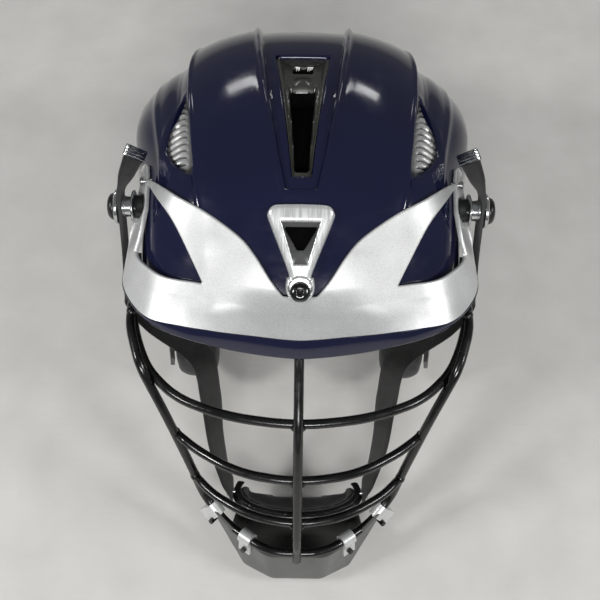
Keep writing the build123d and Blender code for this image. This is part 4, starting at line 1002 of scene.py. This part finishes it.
# Chin guard: its rim's and its floor's outlines from above, and its heights
GUARD_TOP = np.array([(0.20, -0.676), (0.56, -0.560), (0.47, -0.450)]) * SPANS[:2]
GUARD_LOW = np.array([(0.15, -0.646), (0.33, -0.600), (0.32, -0.515)]) * SPANS[:2]
GUARD_RIM = np.array([
    (0, -1.110), (0.165, -1.110), (0.422, -1.087), (0.560, -0.961), (0.600, -0.93)]) * SPANS[[0, 2]]
GUARD_FLOOR = -1.346 * HEIGHT
GUARD_HEAD = -0.930 * HEIGHT
GUARD_LIP = -1.180 * HEIGHT
GUARD_BACK = -0.535 * LENGTH
GUARD_WALL = 2.6
GUARD_CORNER = 0.13
UNDER_WIRE = 3.2


def guard_ring(share, inset):
    """The guard's outline at a height share, its corners rounded and drawn in by an inset."""
    loop = both(GUARD_LOW + (GUARD_TOP - GUARD_LOW) * share)
    centre = loop.mean(0)
    away = loop - centre
    length = np.linalg.norm(away, axis=1, keepdims=True)
    loop = centre + away * (length - inset) / length
    bends = [rounded_corner(a, corner, b, GUARD_CORNER, 9)
             for a, corner, b in zip(np.roll(loop, 1, 0), loop, np.roll(loop, -1, 0))]
    straight = np.linspace(0, 1, 62)[1:-1, None]
    out = []
    for curve, onward in zip(bends, bends[1:] + bends[:1]):
        out += [curve, curve[-1] + (onward[0] - curve[-1]) * straight]
    return np.vstack(out)


def build_guard():
    """Chin guard: a tray whose rim follows the lower wire and steps down to a lip behind it."""
    heights = np.array([
        0.0, 0.004, 0.015, 0.04, 0.12, 0.25, 0.4, 0.55, 0.7, 0.82, 0.9, 0.95, 0.975, 0.99, 1.0])
    full = guard_ring(1.0, 0.0)
    top = np.minimum(np.interp(np.abs(full[:, 0]), *GUARD_RIM.T) - UNDER_WIRE, GUARD_HEAD)
    run, foot_radius, lip_radius, step_run = 45, 1.5, 1.1, 0.6
    top = top + (GUARD_LIP - top) * step(full[:, 1], GUARD_BACK - step_run, GUARD_BACK + step_run)
    span = (top - GUARD_FLOOR) / (GUARD_HEAD - GUARD_FLOOR)
    rings = []
    for inset, order in ((0.0, heights), (GUARD_WALL, heights[::-1])):
        low, high = guard_ring(0.0, inset), guard_ring(1.0, inset)
        for h in order:
            share = (h * span)[:, None]
            flat = low + (high - low) * share
            z = GUARD_FLOOR + (GUARD_HEAD - GUARD_FLOOR) * share[:, 0]
            drawn = edge_round((1 - h) * run, lip_radius)
            if inset:
                z = np.maximum(z, GUARD_FLOOR + GUARD_WALL)
                drawn = -drawn
            else:
                drawn = drawn + edge_round(h * run, foot_radius)
            rings.append(np.column_stack([flat + unit(flat.mean(0) - flat) * drawn, z]))
    piece("chin_guard_tray", capped(np.stack(rings)), guard_plastic, replaces=["chin_guard"],
          sharp=38)


# Badge: its half outline and its window's in the seen plane, and the height it is drawn at
BADGE_EDGE = np.array([
    (0.01, 0.9), (12.0, 0.6), (16.6, -0.6), (18.8, -4.6), (17.6, -9.0), (6.9, -37.6), (7.6, -41.0),
    (8.2, -46.0), (7.2, -51.0), (4.2, -53.6), (0.01, -54.4)])
BADGE_WINDOW = both([(10.9, -9.2), (3.6, -33.2)])
FUNNEL_WINDOW = both([(9.6, -10.4), (1.9, -24.0)])
BADGE_LEVEL = 4.8
BADGE_RISE = 5.2
BADGE_UNDER = 0.35
SCREW_SEAT, SEAT_DROP, SEAT_EDGE = np.array([0, -46.4]), 1.8, (5.9, 7.0)
SCREW_PLACE = np.array([0, -0.518, 0.276]) * SPANS
# The screw's profile of radius and height, and how square each of its rows is
SCREW_PROFILE = np.array([
    (5.0, 1.2), (5.5, 2.0), (5.7, 2.8), (5.6, 3.5), (5.1, 4.3), (4.2, 5.0), (3.2, 5.4), (2.5, 5.5),
    (2.3, 5.4), (2.2, 3.6), (0.1, 3.4)])
SCREW_SQUARE = np.array([0, 0, 0, 0, 0, 0, 0.3, 0.9, 1, 1, 1])


def on_badge(params):
    """Where the badge's level over the shell falls in the seen plane."""
    return seen(skin(params[:, 0], params[:, 1], BADGE_LEVEL))


def build_badge():
    """Badge: a crowned cover on the shell's front with a bevelled window and a seat for its screw."""
    loop = both(smooth_run(BADGE_EDGE, 6))
    sheet = sheet_grid(np.linspace(0.02, 2.75, 110), np.linspace(-0.24, 0.24, 110))

    def edge(p):
        return -outline_distance(on_badge(p), loop)

    def hole(p):
        return outline_distance(on_badge(p), BADGE_WINDOW)

    params, tris = keep_outside(*sheet, edge, (0.2, 0.6, 1.2, 2.2, 3.4))
    params, tris = keep_outside(params, tris, hole, (0.3, 1.0, 2.0))
    t, across = params.T
    seat = np.linalg.norm(on_badge(params) - SCREW_SEAT, axis=1)
    raised = BADGE_RISE - edge_round(edge(params), 3.6) * 0.75 - edge_round(hole(params), 1.1) * 0.7
    raised = raised - SEAT_DROP * (1 - step(seat, *SEAT_EDGE))
    shape = walled(skin(t, across, raised), skin(t, across, np.full(len(t), BADGE_UNDER)), tris)
    piece("front_badge", shape, badge_metal, replaces=["vent_badge"], sharp=50)
    build_funnel(*keep_outside(*sheet, lambda p: -hole(p) - 0.15, (0.4, 1.0, 2.2, 3.2)), hole)


def build_funnel(params, tris, hole):
    """The badge window's funnel: it falls evenly from the window's edge to an opening painted black as
    shade.
    """
    top, fall, drop, wall = 4.0, 4.2, 2.4, 0.8
    t, across = params.T
    inside = -hole(params)
    away = outline_distance(on_badge(params), FUNNEL_WINDOW)
    raised = top - fall * np.clip(inside / np.maximum(inside + np.maximum(away, 0), 1e-6), 0, 1)
    raised = raised - drop * (1 - step(away, -0.5, 0.0))
    points, faces = walled(skin(t, across, raised), skin(t, across, raised - wall), tris)
    # The faces deep in the opening take the near-black: painted shade.
    dark = np.append(raised, raised)[faces].mean(1) < -0.6
    piece("badge_funnel", (points, faces), bezel_plastic, replaces=["badge_bezel"],
          sharp=30, also=(painted_shade_black, dark))


def build_badge_screw():
    """The badge's screw: a domed round head whose drive in its middle is square."""
    axis = np.array([0, -math.cos(VIEW_TILT), math.sin(VIEW_TILT)])
    turn = turns(48)
    square = 0.86 / np.maximum(np.abs(np.cos(turn)), np.abs(np.sin(turn)))
    radius = SCREW_PROFILE[:, :1] * (1 + SCREW_SQUARE[:, None] * (square - 1)[None])
    first = np.array([1.0, 0, 0])
    second = np.cross(axis, first)
    rings = (SCREW_PLACE + SCREW_PROFILE[:, 1:, None] * axis + radius[..., None] * (
        np.cos(turn)[:, None] * first + np.sin(turn)[:, None] * second))
    piece("badge_screw_head", capped(rings), black_nickel, replaces=["badge_screw"],
          sharp=35)


# Straps and snaps: the band's places, X as a share from STRAP_X, and its turn in degrees
SNAP = np.array([103.93, -79.3, 57.15])
STRAP_X = 103.93 + 1.5 + 0.3 + 0.8
BAND = np.array([
    (-0.075, -0.262, 0.665, 34), (-0.030, -0.284, 0.585, 24), (-0.002, -0.298, 0.520, 6),
    (0.000, -0.305, 0.450, 0), (-0.002, -0.311, 0.370, 0), (-0.002, -0.320, 0.220, 0),
    (0.004, -0.332, 0.040, 0), (-0.012, -0.337, -0.030, 4), (-0.130, -0.350, -0.150, 20),
    (-0.390, -0.368, -0.330, 34), (-0.452, -0.400, -0.540, 34), (-0.480, -0.440, -0.760, 22),
    (-0.530, -0.478, -0.930, 6), (-0.572, -0.494, -1.010, 0), (-0.574, -0.495, -1.080, 0)])
BAND_HALF_WIDTH, BAND_HALF_THICKNESS = 9.0, 0.75
# Profiles of radius and height over the snap's place: socket, cap, post and spacer
SNAP_SOCKET = [(10.3, 3.72), (10.5, 4.1), (10.4, 5.3), (9.6, 5.95), (8.6, 6.1), (8.2, 5.8), (0.1, 5.75)]
SNAP_CAP = [
    (7.6, 5.9), (7.95, 6.7), (7.9, 7.5), (7.3, 8.8), (6.0, 9.8), (4.0, 10.4), (2.0, 10.65), (0.1, 10.7)]
SNAP_POST = [
    (2.0, -18.0), (2.0, -5.6), (9.2, -5.6), (9.8, -5.2), (9.8, -4.6), (9.2, -4.2), (6.2, -4.2), (6.2, 0.0),
    (6.5, 0.2), (6.5, 1.3), (6.2, 1.5), (2.0, 1.5), (2.0, 4.6), (0.1, 4.6)]
SNAP_SPACER = [(2.3, -11.5), (7.4, -11.5), (7.8, -11.0), (7.0, -5.9), (6.6, -5.7), (2.3, -5.7)]


def square_to(vectors, way):
    """Unit vectors made square to a unit way."""
    return unit(vectors - (vectors * way).sum(-1, keepdims=True) * way)


def widthways(turn):
    """The band's width at a turn from Y towards X."""
    return np.stack([-np.sin(turn), np.cos(turn), np.zeros(np.shape(turn))], -1)


def build_band():
    """One webbing band and its map: a flat rounded section whose width turns slowly from Y towards X."""
    places = np.array([STRAP_X, 0, 0]) + BAND[:, :3] * SPANS
    smooth = smooth_run(np.column_stack([places, BAND[:, 3]]), 10)
    line, turn = smooth[:, :3], np.radians(smooth[:, 3])
    tangent = unit(np.gradient(line, axis=0))
    width = square_to(widthways(turn), tangent)
    face = np.cross(width, tangent)
    across = np.linspace(-BAND_HALF_WIDTH, BAND_HALF_WIDTH, 13)
    across = np.concatenate([across, across[::-1]])
    lift = np.repeat([BAND_HALF_THICKNESS, -BAND_HALF_THICKNESS], 13)
    at_edge = np.abs(across) == BAND_HALF_WIDTH
    across = np.where(at_edge, across * 1.045, across)
    lift = np.where(at_edge, lift * 0.45, lift)
    rings = line[:, None] + across[None, :, None] * width[:, None] + lift[None, :, None] * face[:, None]
    run = np.r_[0, np.cumsum(np.linalg.norm(np.diff(line, axis=0), axis=1))]
    uv = np.stack(np.broadcast_arrays(across[None, :], run[:, None]), -1).reshape(-1, 2) / 1000
    return capped(rings), np.vstack([uv, uv[:1], uv[-1:]])


def tail_end():
    """The tail's metal end: a flat rounded sleeve with three ridges across it."""
    first, second = np.array([STRAP_X, 0, 0]) + BAND[:2, :3] * SPANS
    way = unit(first - second)
    width = square_to(widthways(math.radians(BAND[0, 3])), way)
    face = np.cross(width, way)
    half_width, half_thickness, ridge_height, ridge_run = 9.7, 1.35, 0.45, 1.9
    run = np.linspace(-1.5, 5.5, 57)
    thick = half_thickness + ridge_height * (0.5 + 0.5 * np.cos(run * 2 * math.pi / ridge_run)) ** 0.7
    thick = thick * (1 - 0.5 * step(run, 4.9, 5.5))
    c, s = np.cos(turns(40)), np.sin(turns(40))
    round_x = np.sign(c) * np.abs(c) ** 0.25
    round_y = np.sign(s) * np.abs(s) ** 0.5
    return capped(first + run[:, None, None] * way + half_width * round_x[None, :, None] * width
                  + (thick[:, None] * round_y[None])[..., None] * face)


def build_straps():
    """Chin strap bands, their tails' ends, and the snaps at the temples."""
    band, uv = build_band()
    end = tail_end()
    for name, side, own in (("left", 1, lambda shape: shape), ("right", -1, mirrored)):
        piece("band_" + name, own(band), strap_web, body="chin_strap", replaces=["strap_band_" + name],
              sharp=50, uv=uv)
        piece("tail_end_" + name, own(end), chrome, body="chin_strap", replaces=["strap_tail_end_" + name],
              sharp=50)
        centre, out = SNAP * np.array([side, 1, 1]), (side, 0, 0)
        piece("snap_ring_" + name, turned(SNAP_SOCKET, centre, out), chrome, body="chin_strap",
              replaces=["snap_socket_" + name], sharp=40)
        piece("snap_dome_" + name, turned(SNAP_CAP, centre, out), dark_plastic, body="chin_strap",
              replaces=["snap_cap_" + name], sharp=45)
        piece("snap_post_" + name, turned(SNAP_POST, centre, out), chrome, replaces=["snap_stud_" + name],
              sharp=35)
        piece("snap_spacer_" + name, turned(SNAP_SPACER, centre, out), dark_plastic,
              sharp=35)


# Liner and pads
PUFF_FRAMES = 20


def puffed(obj, voxel, limit):
    """A pad blown up as cloth: remeshed, pressed out for some frames, its movement capped."""
    scene = bpy.context.scene
    remesh = obj.modifiers.new("remesh", "REMESH")
    remesh.mode = "VOXEL"
    remesh.voxel_size = voxel
    remesh.use_smooth_shade = True
    settle(obj)
    start = coordinates(obj.data)
    puff = obj.modifiers.new("cloth", "CLOTH")
    puff.settings.quality = 5
    puff.settings.use_pressure = True
    puff.settings.uniform_pressure_force = 4
    puff.settings.effector_weights.gravity = 0
    for frame_number in range(1, PUFF_FRAMES + 1):
        scene.frame_set(frame_number)
    end = coordinates(obj.evaluated_get(bpy.context.evaluated_depsgraph_get()).to_mesh())
    obj.modifiers.remove(puff)
    scene.frame_set(1)
    away = end - start
    length = np.linalg.norm(away, axis=1, keepdims=True)
    end = start + away * np.minimum(1, limit / np.maximum(length, TINY))
    obj.data.vertices.foreach_set("co", end.astype(np.float32).ravel())
    smooth = obj.modifiers.new("smooth", "SUBSURF")
    smooth.levels = 1
    smooth.render_levels = 1
    settle(obj)
    smoothed(obj.data)


def coordinates(mesh):
    """A mesh's vertex places."""
    place = np.zeros(len(mesh.vertices) * 3, np.float32)
    mesh.vertices.foreach_get("co", place)
    return place.reshape(-1, 3).astype(float)


def settle(obj):
    """The object's modifiers made part of its mesh."""
    shape = obj.evaluated_get(bpy.context.evaluated_depsgraph_get())
    mesh = bpy.data.meshes.new_from_object(shape)
    obj.modifiers.clear()
    old = obj.data
    obj.data = mesh
    bpy.data.meshes.remove(old)


def cushion(x, y):
    """How near a pad's edge a place is, and its swell there: 1 less the tenth power of that."""
    edge = np.clip((np.abs(x) ** 8 + np.abs(y) ** 8) ** (1 / 8), 0, 1)
    return edge, np.clip(1 - edge ** 10, 0, 1) ** 0.5


def eased(count):
    """Shares from -1 to 1 that lie closer at both ends."""
    return np.sin(np.linspace(-1, 1, count) * math.pi / 2)


def pillow(t_low, t_high, a_low, a_high, top, low, grooves=0, depth=0.0, along=True):
    """A pad on the shell's inside: two sheets that close on each other at a rounded edge.

    With x and y from -1 to 1 over the pad, its half thickness falls towards the edge as cushion
    says. Grooves are a raised cosine across or along it. The third result is each point's groove
    depth and its place along the grooves.
    """
    counts = (51, 241) if along else (241, 51)
    params, tris = sheet_grid(*[eased(count) for count in counts])
    x, y = params.T
    t = (t_low + t_high) / 2 + x * (t_high - t_low) / 2
    a = (a_low + a_high) / 2 + y * (a_high - a_low) / 2
    edge, swell = cushion(x, y)
    middle, half = (top + low) / 2, (low - top) / 2
    line = y if along else x
    cut = (0.5 - 0.5 * np.cos(line * math.pi * grooves)) ** 3 * (1 - step(edge, 0.9, 0.97))
    outer = skin(t, a, -(middle - half * swell) - cut * depth)
    inner = skin(t, a, -(middle + half * swell) + cut * depth)
    return walled(outer, inner, tris), np.stack([np.append(cut, cut), np.append(line, line)], -1)


# Liner pads: name, node, stations and shares that they reach over, grooves and whether these run along
LINER_PADS = (
    ("liner_front", "front_liner", (0.32, 1.88, -0.445, 0.445), 24, True),
    ("liner_crown_left", "crown_liner_left", (2.65, 5.55, 0.095, 0.268), 14, False),
    ("liner_crown_right", "crown_liner_right", (2.65, 5.55, -0.268, -0.095), 14, False),
    ("liner_side_left", "side_liner_left", (2.25, 5.95, 0.335, 0.795), 34, False),
    ("liner_side_right", "side_liner_right", (2.25, 5.95, -0.795, -0.335), 34, False),
    ("liner_rear_left", "rear_liner_left", (6.55, 8.55, 0.325, 0.655), 12, False),
    ("liner_rear_right", "rear_liner_right", (6.55, 8.55, -0.655, -0.325), 12, False),
    ("liner_rear_top", "rear_top_liner", (6.03, 6.97, -0.255, 0.255), 14, True))
LINER_TOP, LINER_LOW, LINER_GROOVE = 3.6, 20.4, 2.4
BROW_TOP, BROW_LOW = 21.6, 26.4


def build_liner():
    """Ribbed foam pads under the shell and the cloth pad on the brow."""
    for name, node, places, grooves, along in LINER_PADS:
        # Each pad's map carries its groove depth, which the foam's colour turns into painted shade in the
        # grooves.
        shape, marks = pillow(*places, LINER_TOP, LINER_LOW, grooves, LINER_GROOVE, along)
        obj = piece(name, shape, foam, replaces=[node], sharp=60, uv=marks)
    shape, _marks = pillow(0.42, 1.58, -0.395, 0.395, BROW_TOP, BROW_LOW)
    obj = piece("pad_brow", shape, pad_cloth, replaces=["brow_pad"], sharp=60)
    puffed(obj, 0.003, 0.0025)


def soft_box(centre, size):
    """A crowned closed pad: a ball whose radius follows a superellipse of the fourth power."""
    theta = np.linspace(0.001, math.pi - 0.001, 28)[:, None]
    phi = turns(56)
    ball = np.stack([np.sin(theta) * np.cos(phi), np.sin(theta) * np.sin(phi),
                     np.cos(theta) * np.ones(len(phi))], -1)
    radius = (np.abs(ball) ** 4.0).sum(-1, keepdims=True) ** (-1 / 4.0)
    return capped(np.asarray(centre, float) + ball * radius * np.asarray(size, float) / 2)


# Jaw pads: each lobe's inner and outer X, its Y and Z as shares, and the neck that joins them
JAW_LOBES = ((56.0, 87.0, -0.225, -0.150, -0.760, -0.280), (66.5, 90.0, -0.144, -0.070, -0.560, -0.400))
JAW_NECK, JAW_NECK_SIZE = (84.0, -0.147 * LENGTH, -0.48 * HEIGHT), (9, 16, 14)
# A lobe's own size is taken from spans a little under the shell's
JAW_SPANS = np.array([1.0, 252, 123])
# The cradle's pad: an arc about an upright axis, at the height of the dial
DIAL = np.array([0.0, 124.29, 7.62])
CRADLE_AXIS_Y = DIAL[1] - 13.3 - 95
CRADLE_RADIUS, CRADLE_SWELL, CRADLE_HALF_HEIGHT = 87.5, 3.4, 16.4
CRADLE_REACH = math.asin(40.3 / 90)


def build_soft():
    """Jaw pads of two lobes and the cradle's pad."""
    for side, name in ((1, "left"), (-1, "right")):
        parts = []
        for inner, outer, front, back, low, high in JAW_LOBES:
            centre = (side * (inner + outer) / 2, (front + back) / 2 * LENGTH, (low + high) / 2 * HEIGHT)
            parts.append(soft_box(centre, np.array([outer - inner, back - front, high - low]) * JAW_SPANS))
        parts.append(soft_box(np.array([side, 1, 1]) * JAW_NECK, JAW_NECK_SIZE))
        obj = piece("pad_jaw_" + name, joined(parts), pad_cloth, replaces=["jaw_pad_" + name])
        puffed(obj, 0.004, 0.003)

    params, tris = sheet_grid(eased(60), eased(30))
    x, y = params.T
    angle = x * CRADLE_REACH
    swell = CRADLE_SWELL * cushion(x, y)[1]

    def wall(radius):
        return np.stack([radius * np.sin(angle), CRADLE_AXIS_Y + radius * np.cos(angle),
                         DIAL[2] + y * CRADLE_HALF_HEIGHT], -1)

    points, faces = walled(wall(CRADLE_RADIUS + swell), wall(CRADLE_RADIUS - swell), tris)
    obj = piece("pad_cradle", (points, faces[:, ::-1]), pad_cloth, body="cradle", replaces=["cradle_pad"])
    puffed(obj, 0.003, 0.0025)


CUP = np.array([0.0, -0.495, -1.045]) * SPANS
CUP_HALF = np.array([42.0, 22.0, 14.5])
CUP_REACH = math.pi - math.acos(0.35)
CUP_BACK = CUP[1] + 6.6
# Ribs round the cup: height, angle up from its bottom and width
CUP_RIBS = ((1.5, 1.30, 0.055), (1.5, 1.58, 0.05), (1.6, 1.86, 0.045), (0.9, 1.05, 0.05))


def cup_sheet(params, inset, ribs=()):
    """The chin cup's bowl over a flat disc: distance from its middle is the angle up from the bottom."""
    away = np.maximum(np.hypot(*params.T), TINY)
    side = np.sin(away) / away
    ball = np.stack([side * params[:, 0], -side * params[:, 1], -np.cos(away)], -1)
    lift = sum((ridge(away, *rib) for rib in ribs), 0.0 * away) - inset
    return CUP + ball * (CUP_HALF + lift[:, None])


def build_cup():
    """Chin cup with raised ribs round its front, and its pad."""
    flat = np.linspace(-CUP_REACH - 0.02, CUP_REACH + 0.02, 150)
    sheet = sheet_grid(flat, flat)
    for name, node, first, second, ribs, rim, material, slot in (
            ("cup_shell", "chin_cup", 0.0, 2.6, CUP_RIBS, 1.0, cup_rubber, "dark_plastic"),
            ("cup_pad", "chin_cup_pad", 3.2, 7.6, (), 2.2, pad_cloth, "pad_cloth")):

        def field(p):
            back = CUP_BACK - cup_sheet(p, first)[:, 1]
            return np.minimum((CUP_REACH - np.hypot(*p.T)) * 15, back)

        params, tris = keep_outside(*sheet, field, (0.2, 0.6, 1.2))
        drop = edge_round(field(params), rim) * 0.8
        shape = walled(cup_sheet(params, first + drop, ribs), cup_sheet(params, second - drop), tris)
        obj = piece(name, shape, material, body="chin_strap", replaces=[node], sharp=50)
        if name == "cup_pad":
            puffed(obj, 0.0025, 0.0012)


DIAL_PROFILE = [
    (13.4, 3.4), (14.6, 3.9), (15.0, 4.8), (15.0, 9.2), (14.6, 10.4), (13.6, 11.2), (11.5, 11.4),
    (10.8, 10.6), (4.0, 10.5), (0.1, 10.5)]


def finger_lobes(turn):
    """Twelve hollows round the knob's edge."""
    return 1 - 0.07 * (0.5 + 0.5 * np.cos(12 * turn)) ** 2


def build_rear():
    """The fit dial: a knob with finger lobes on the back of the shell."""
    knob = turned(DIAL_PROFILE, DIAL, (0.0, 1, 0), 144, finger_lobes)
    piece("dial_knob", knob, dark_plastic, body="fit_dial", replaces=["fit_dial"],
          sharp=50)


build_shell()
build_tray()
build_visor()
build_lip()
build_cage()
build_guard()
build_badge()
build_badge_screw()
build_straps()
build_liner()
build_soft()
build_cup()
build_rear()

# The CAD's own small parts, each in its finish
CAD_FINISH = {
    "badge_bezel": bezel_plastic, "top_channel": smoke_plastic, "side_clip_left": dark_plastic,
    "side_clip_right": dark_plastic, "ear_guard_left": dark_plastic, "ear_guard_right": dark_plastic,
    "dial_housing": dark_plastic, "adjuster_bracket": dark_plastic, "occipital_cradle": dark_plastic,
    "cradle_guides": dark_plastic, "chin_guard_clips": silver, "chin_guard_rivets": black_nickel,
}
for name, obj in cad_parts.items():
    obj.data.materials.clear()
    obj.data.materials.append(CAD_FINISH.get(name, steel))

# Floor, light and camera


def floor():
    """A pale mottled tabletop."""
    reach = 3.0
    mesh = bpy.data.meshes.new("table_top")
    corners = [(-reach, -reach, 0), (-reach, reach, 0), (reach, -reach, 0), (reach, reach, 0)]
    mesh.from_pydata(corners, [], [(0, 2, 3, 1)])
    material, surface = new_material("pale table", (0.64, 0.625, 0.6), 0.55)
    mottle = noise(material, 26, 9)
    tinted(material, surface, mottle, (0.66, 0.645, 0.615), (0.75, 0.735, 0.705), 0.25, 0.75)
    bump(material, surface, noise(material, 70, 6, (1, 3, 1)), 0.15, 0.001)
    mesh.materials.append(material)
    linked("table_top", mesh)


def lamp(name, place, size, power, aim=(0, 0, 0.1)):
    """A rectangular soft light aimed at a point."""
    data = bpy.data.lights.new(name, "AREA")
    data.shape = "RECTANGLE"
    data.size, data.size_y = size
    data.energy = power
    obj = linked(name, data)
    obj.location = place
    obj.rotation_euler = (Vector(aim) - Vector(place)).to_track_quat("-Z", "Y").to_euler()


def camera():
    """The photograph's camera: 35 degrees above the worn helmet's front, a long lens."""
    distance, height, roll = 547.46, 318.84, math.radians(0.75)
    data = bpy.data.cameras.new("camera")
    data.sensor_width = 36
    data.lens = 54
    data.clip_start = 0.01
    obj = linked("camera", data)
    place = stand((0, -distance, height))
    along = np.array([0, 81.92, -57.36])
    look = unit(stand(np.array([0, -distance, height]) + along) - place)
    right = np.array([1.0, 0, 0])
    up = np.cross(right, look)
    right, up = right * math.cos(roll) + up * math.sin(roll), up * math.cos(roll) - right * math.sin(roll)
    rows = np.vstack([np.column_stack([right, up, -look, place]), (0, 0, 0, 1)])
    obj.matrix_world = Matrix(rows.tolist())
    bpy.context.scene.camera = obj


floor()
camera()
lamp("left", (-1.1, -0.35, 1.05), (0.3, 0.2), 7.5)
lamp("right", (1.1, -0.35, 1.05), (0.3, 0.2), 5.5)
lamp("back_left", (-0.42, 1.3, 0.95), (0.3, 0.14), 0.9)
lamp("back_right", (0.45, 1.25, 1.0), (0.26, 0.12), 0.7)
lamp("front", (0.0, -1.35, 1.25), (0.7, 0.3), 15, (0, -0.05, 0.1))
world = bpy.data.worlds.new("room")
bpy.context.scene.world = world
world.use_nodes = True
background = world.node_tree.nodes["Background"]
background.inputs["Color"].default_value = (0.75, 0.78, 0.8, 1)
background.inputs["Strength"].default_value = 0.2
bpy.context.scene.view_settings.view_transform = "Standard"
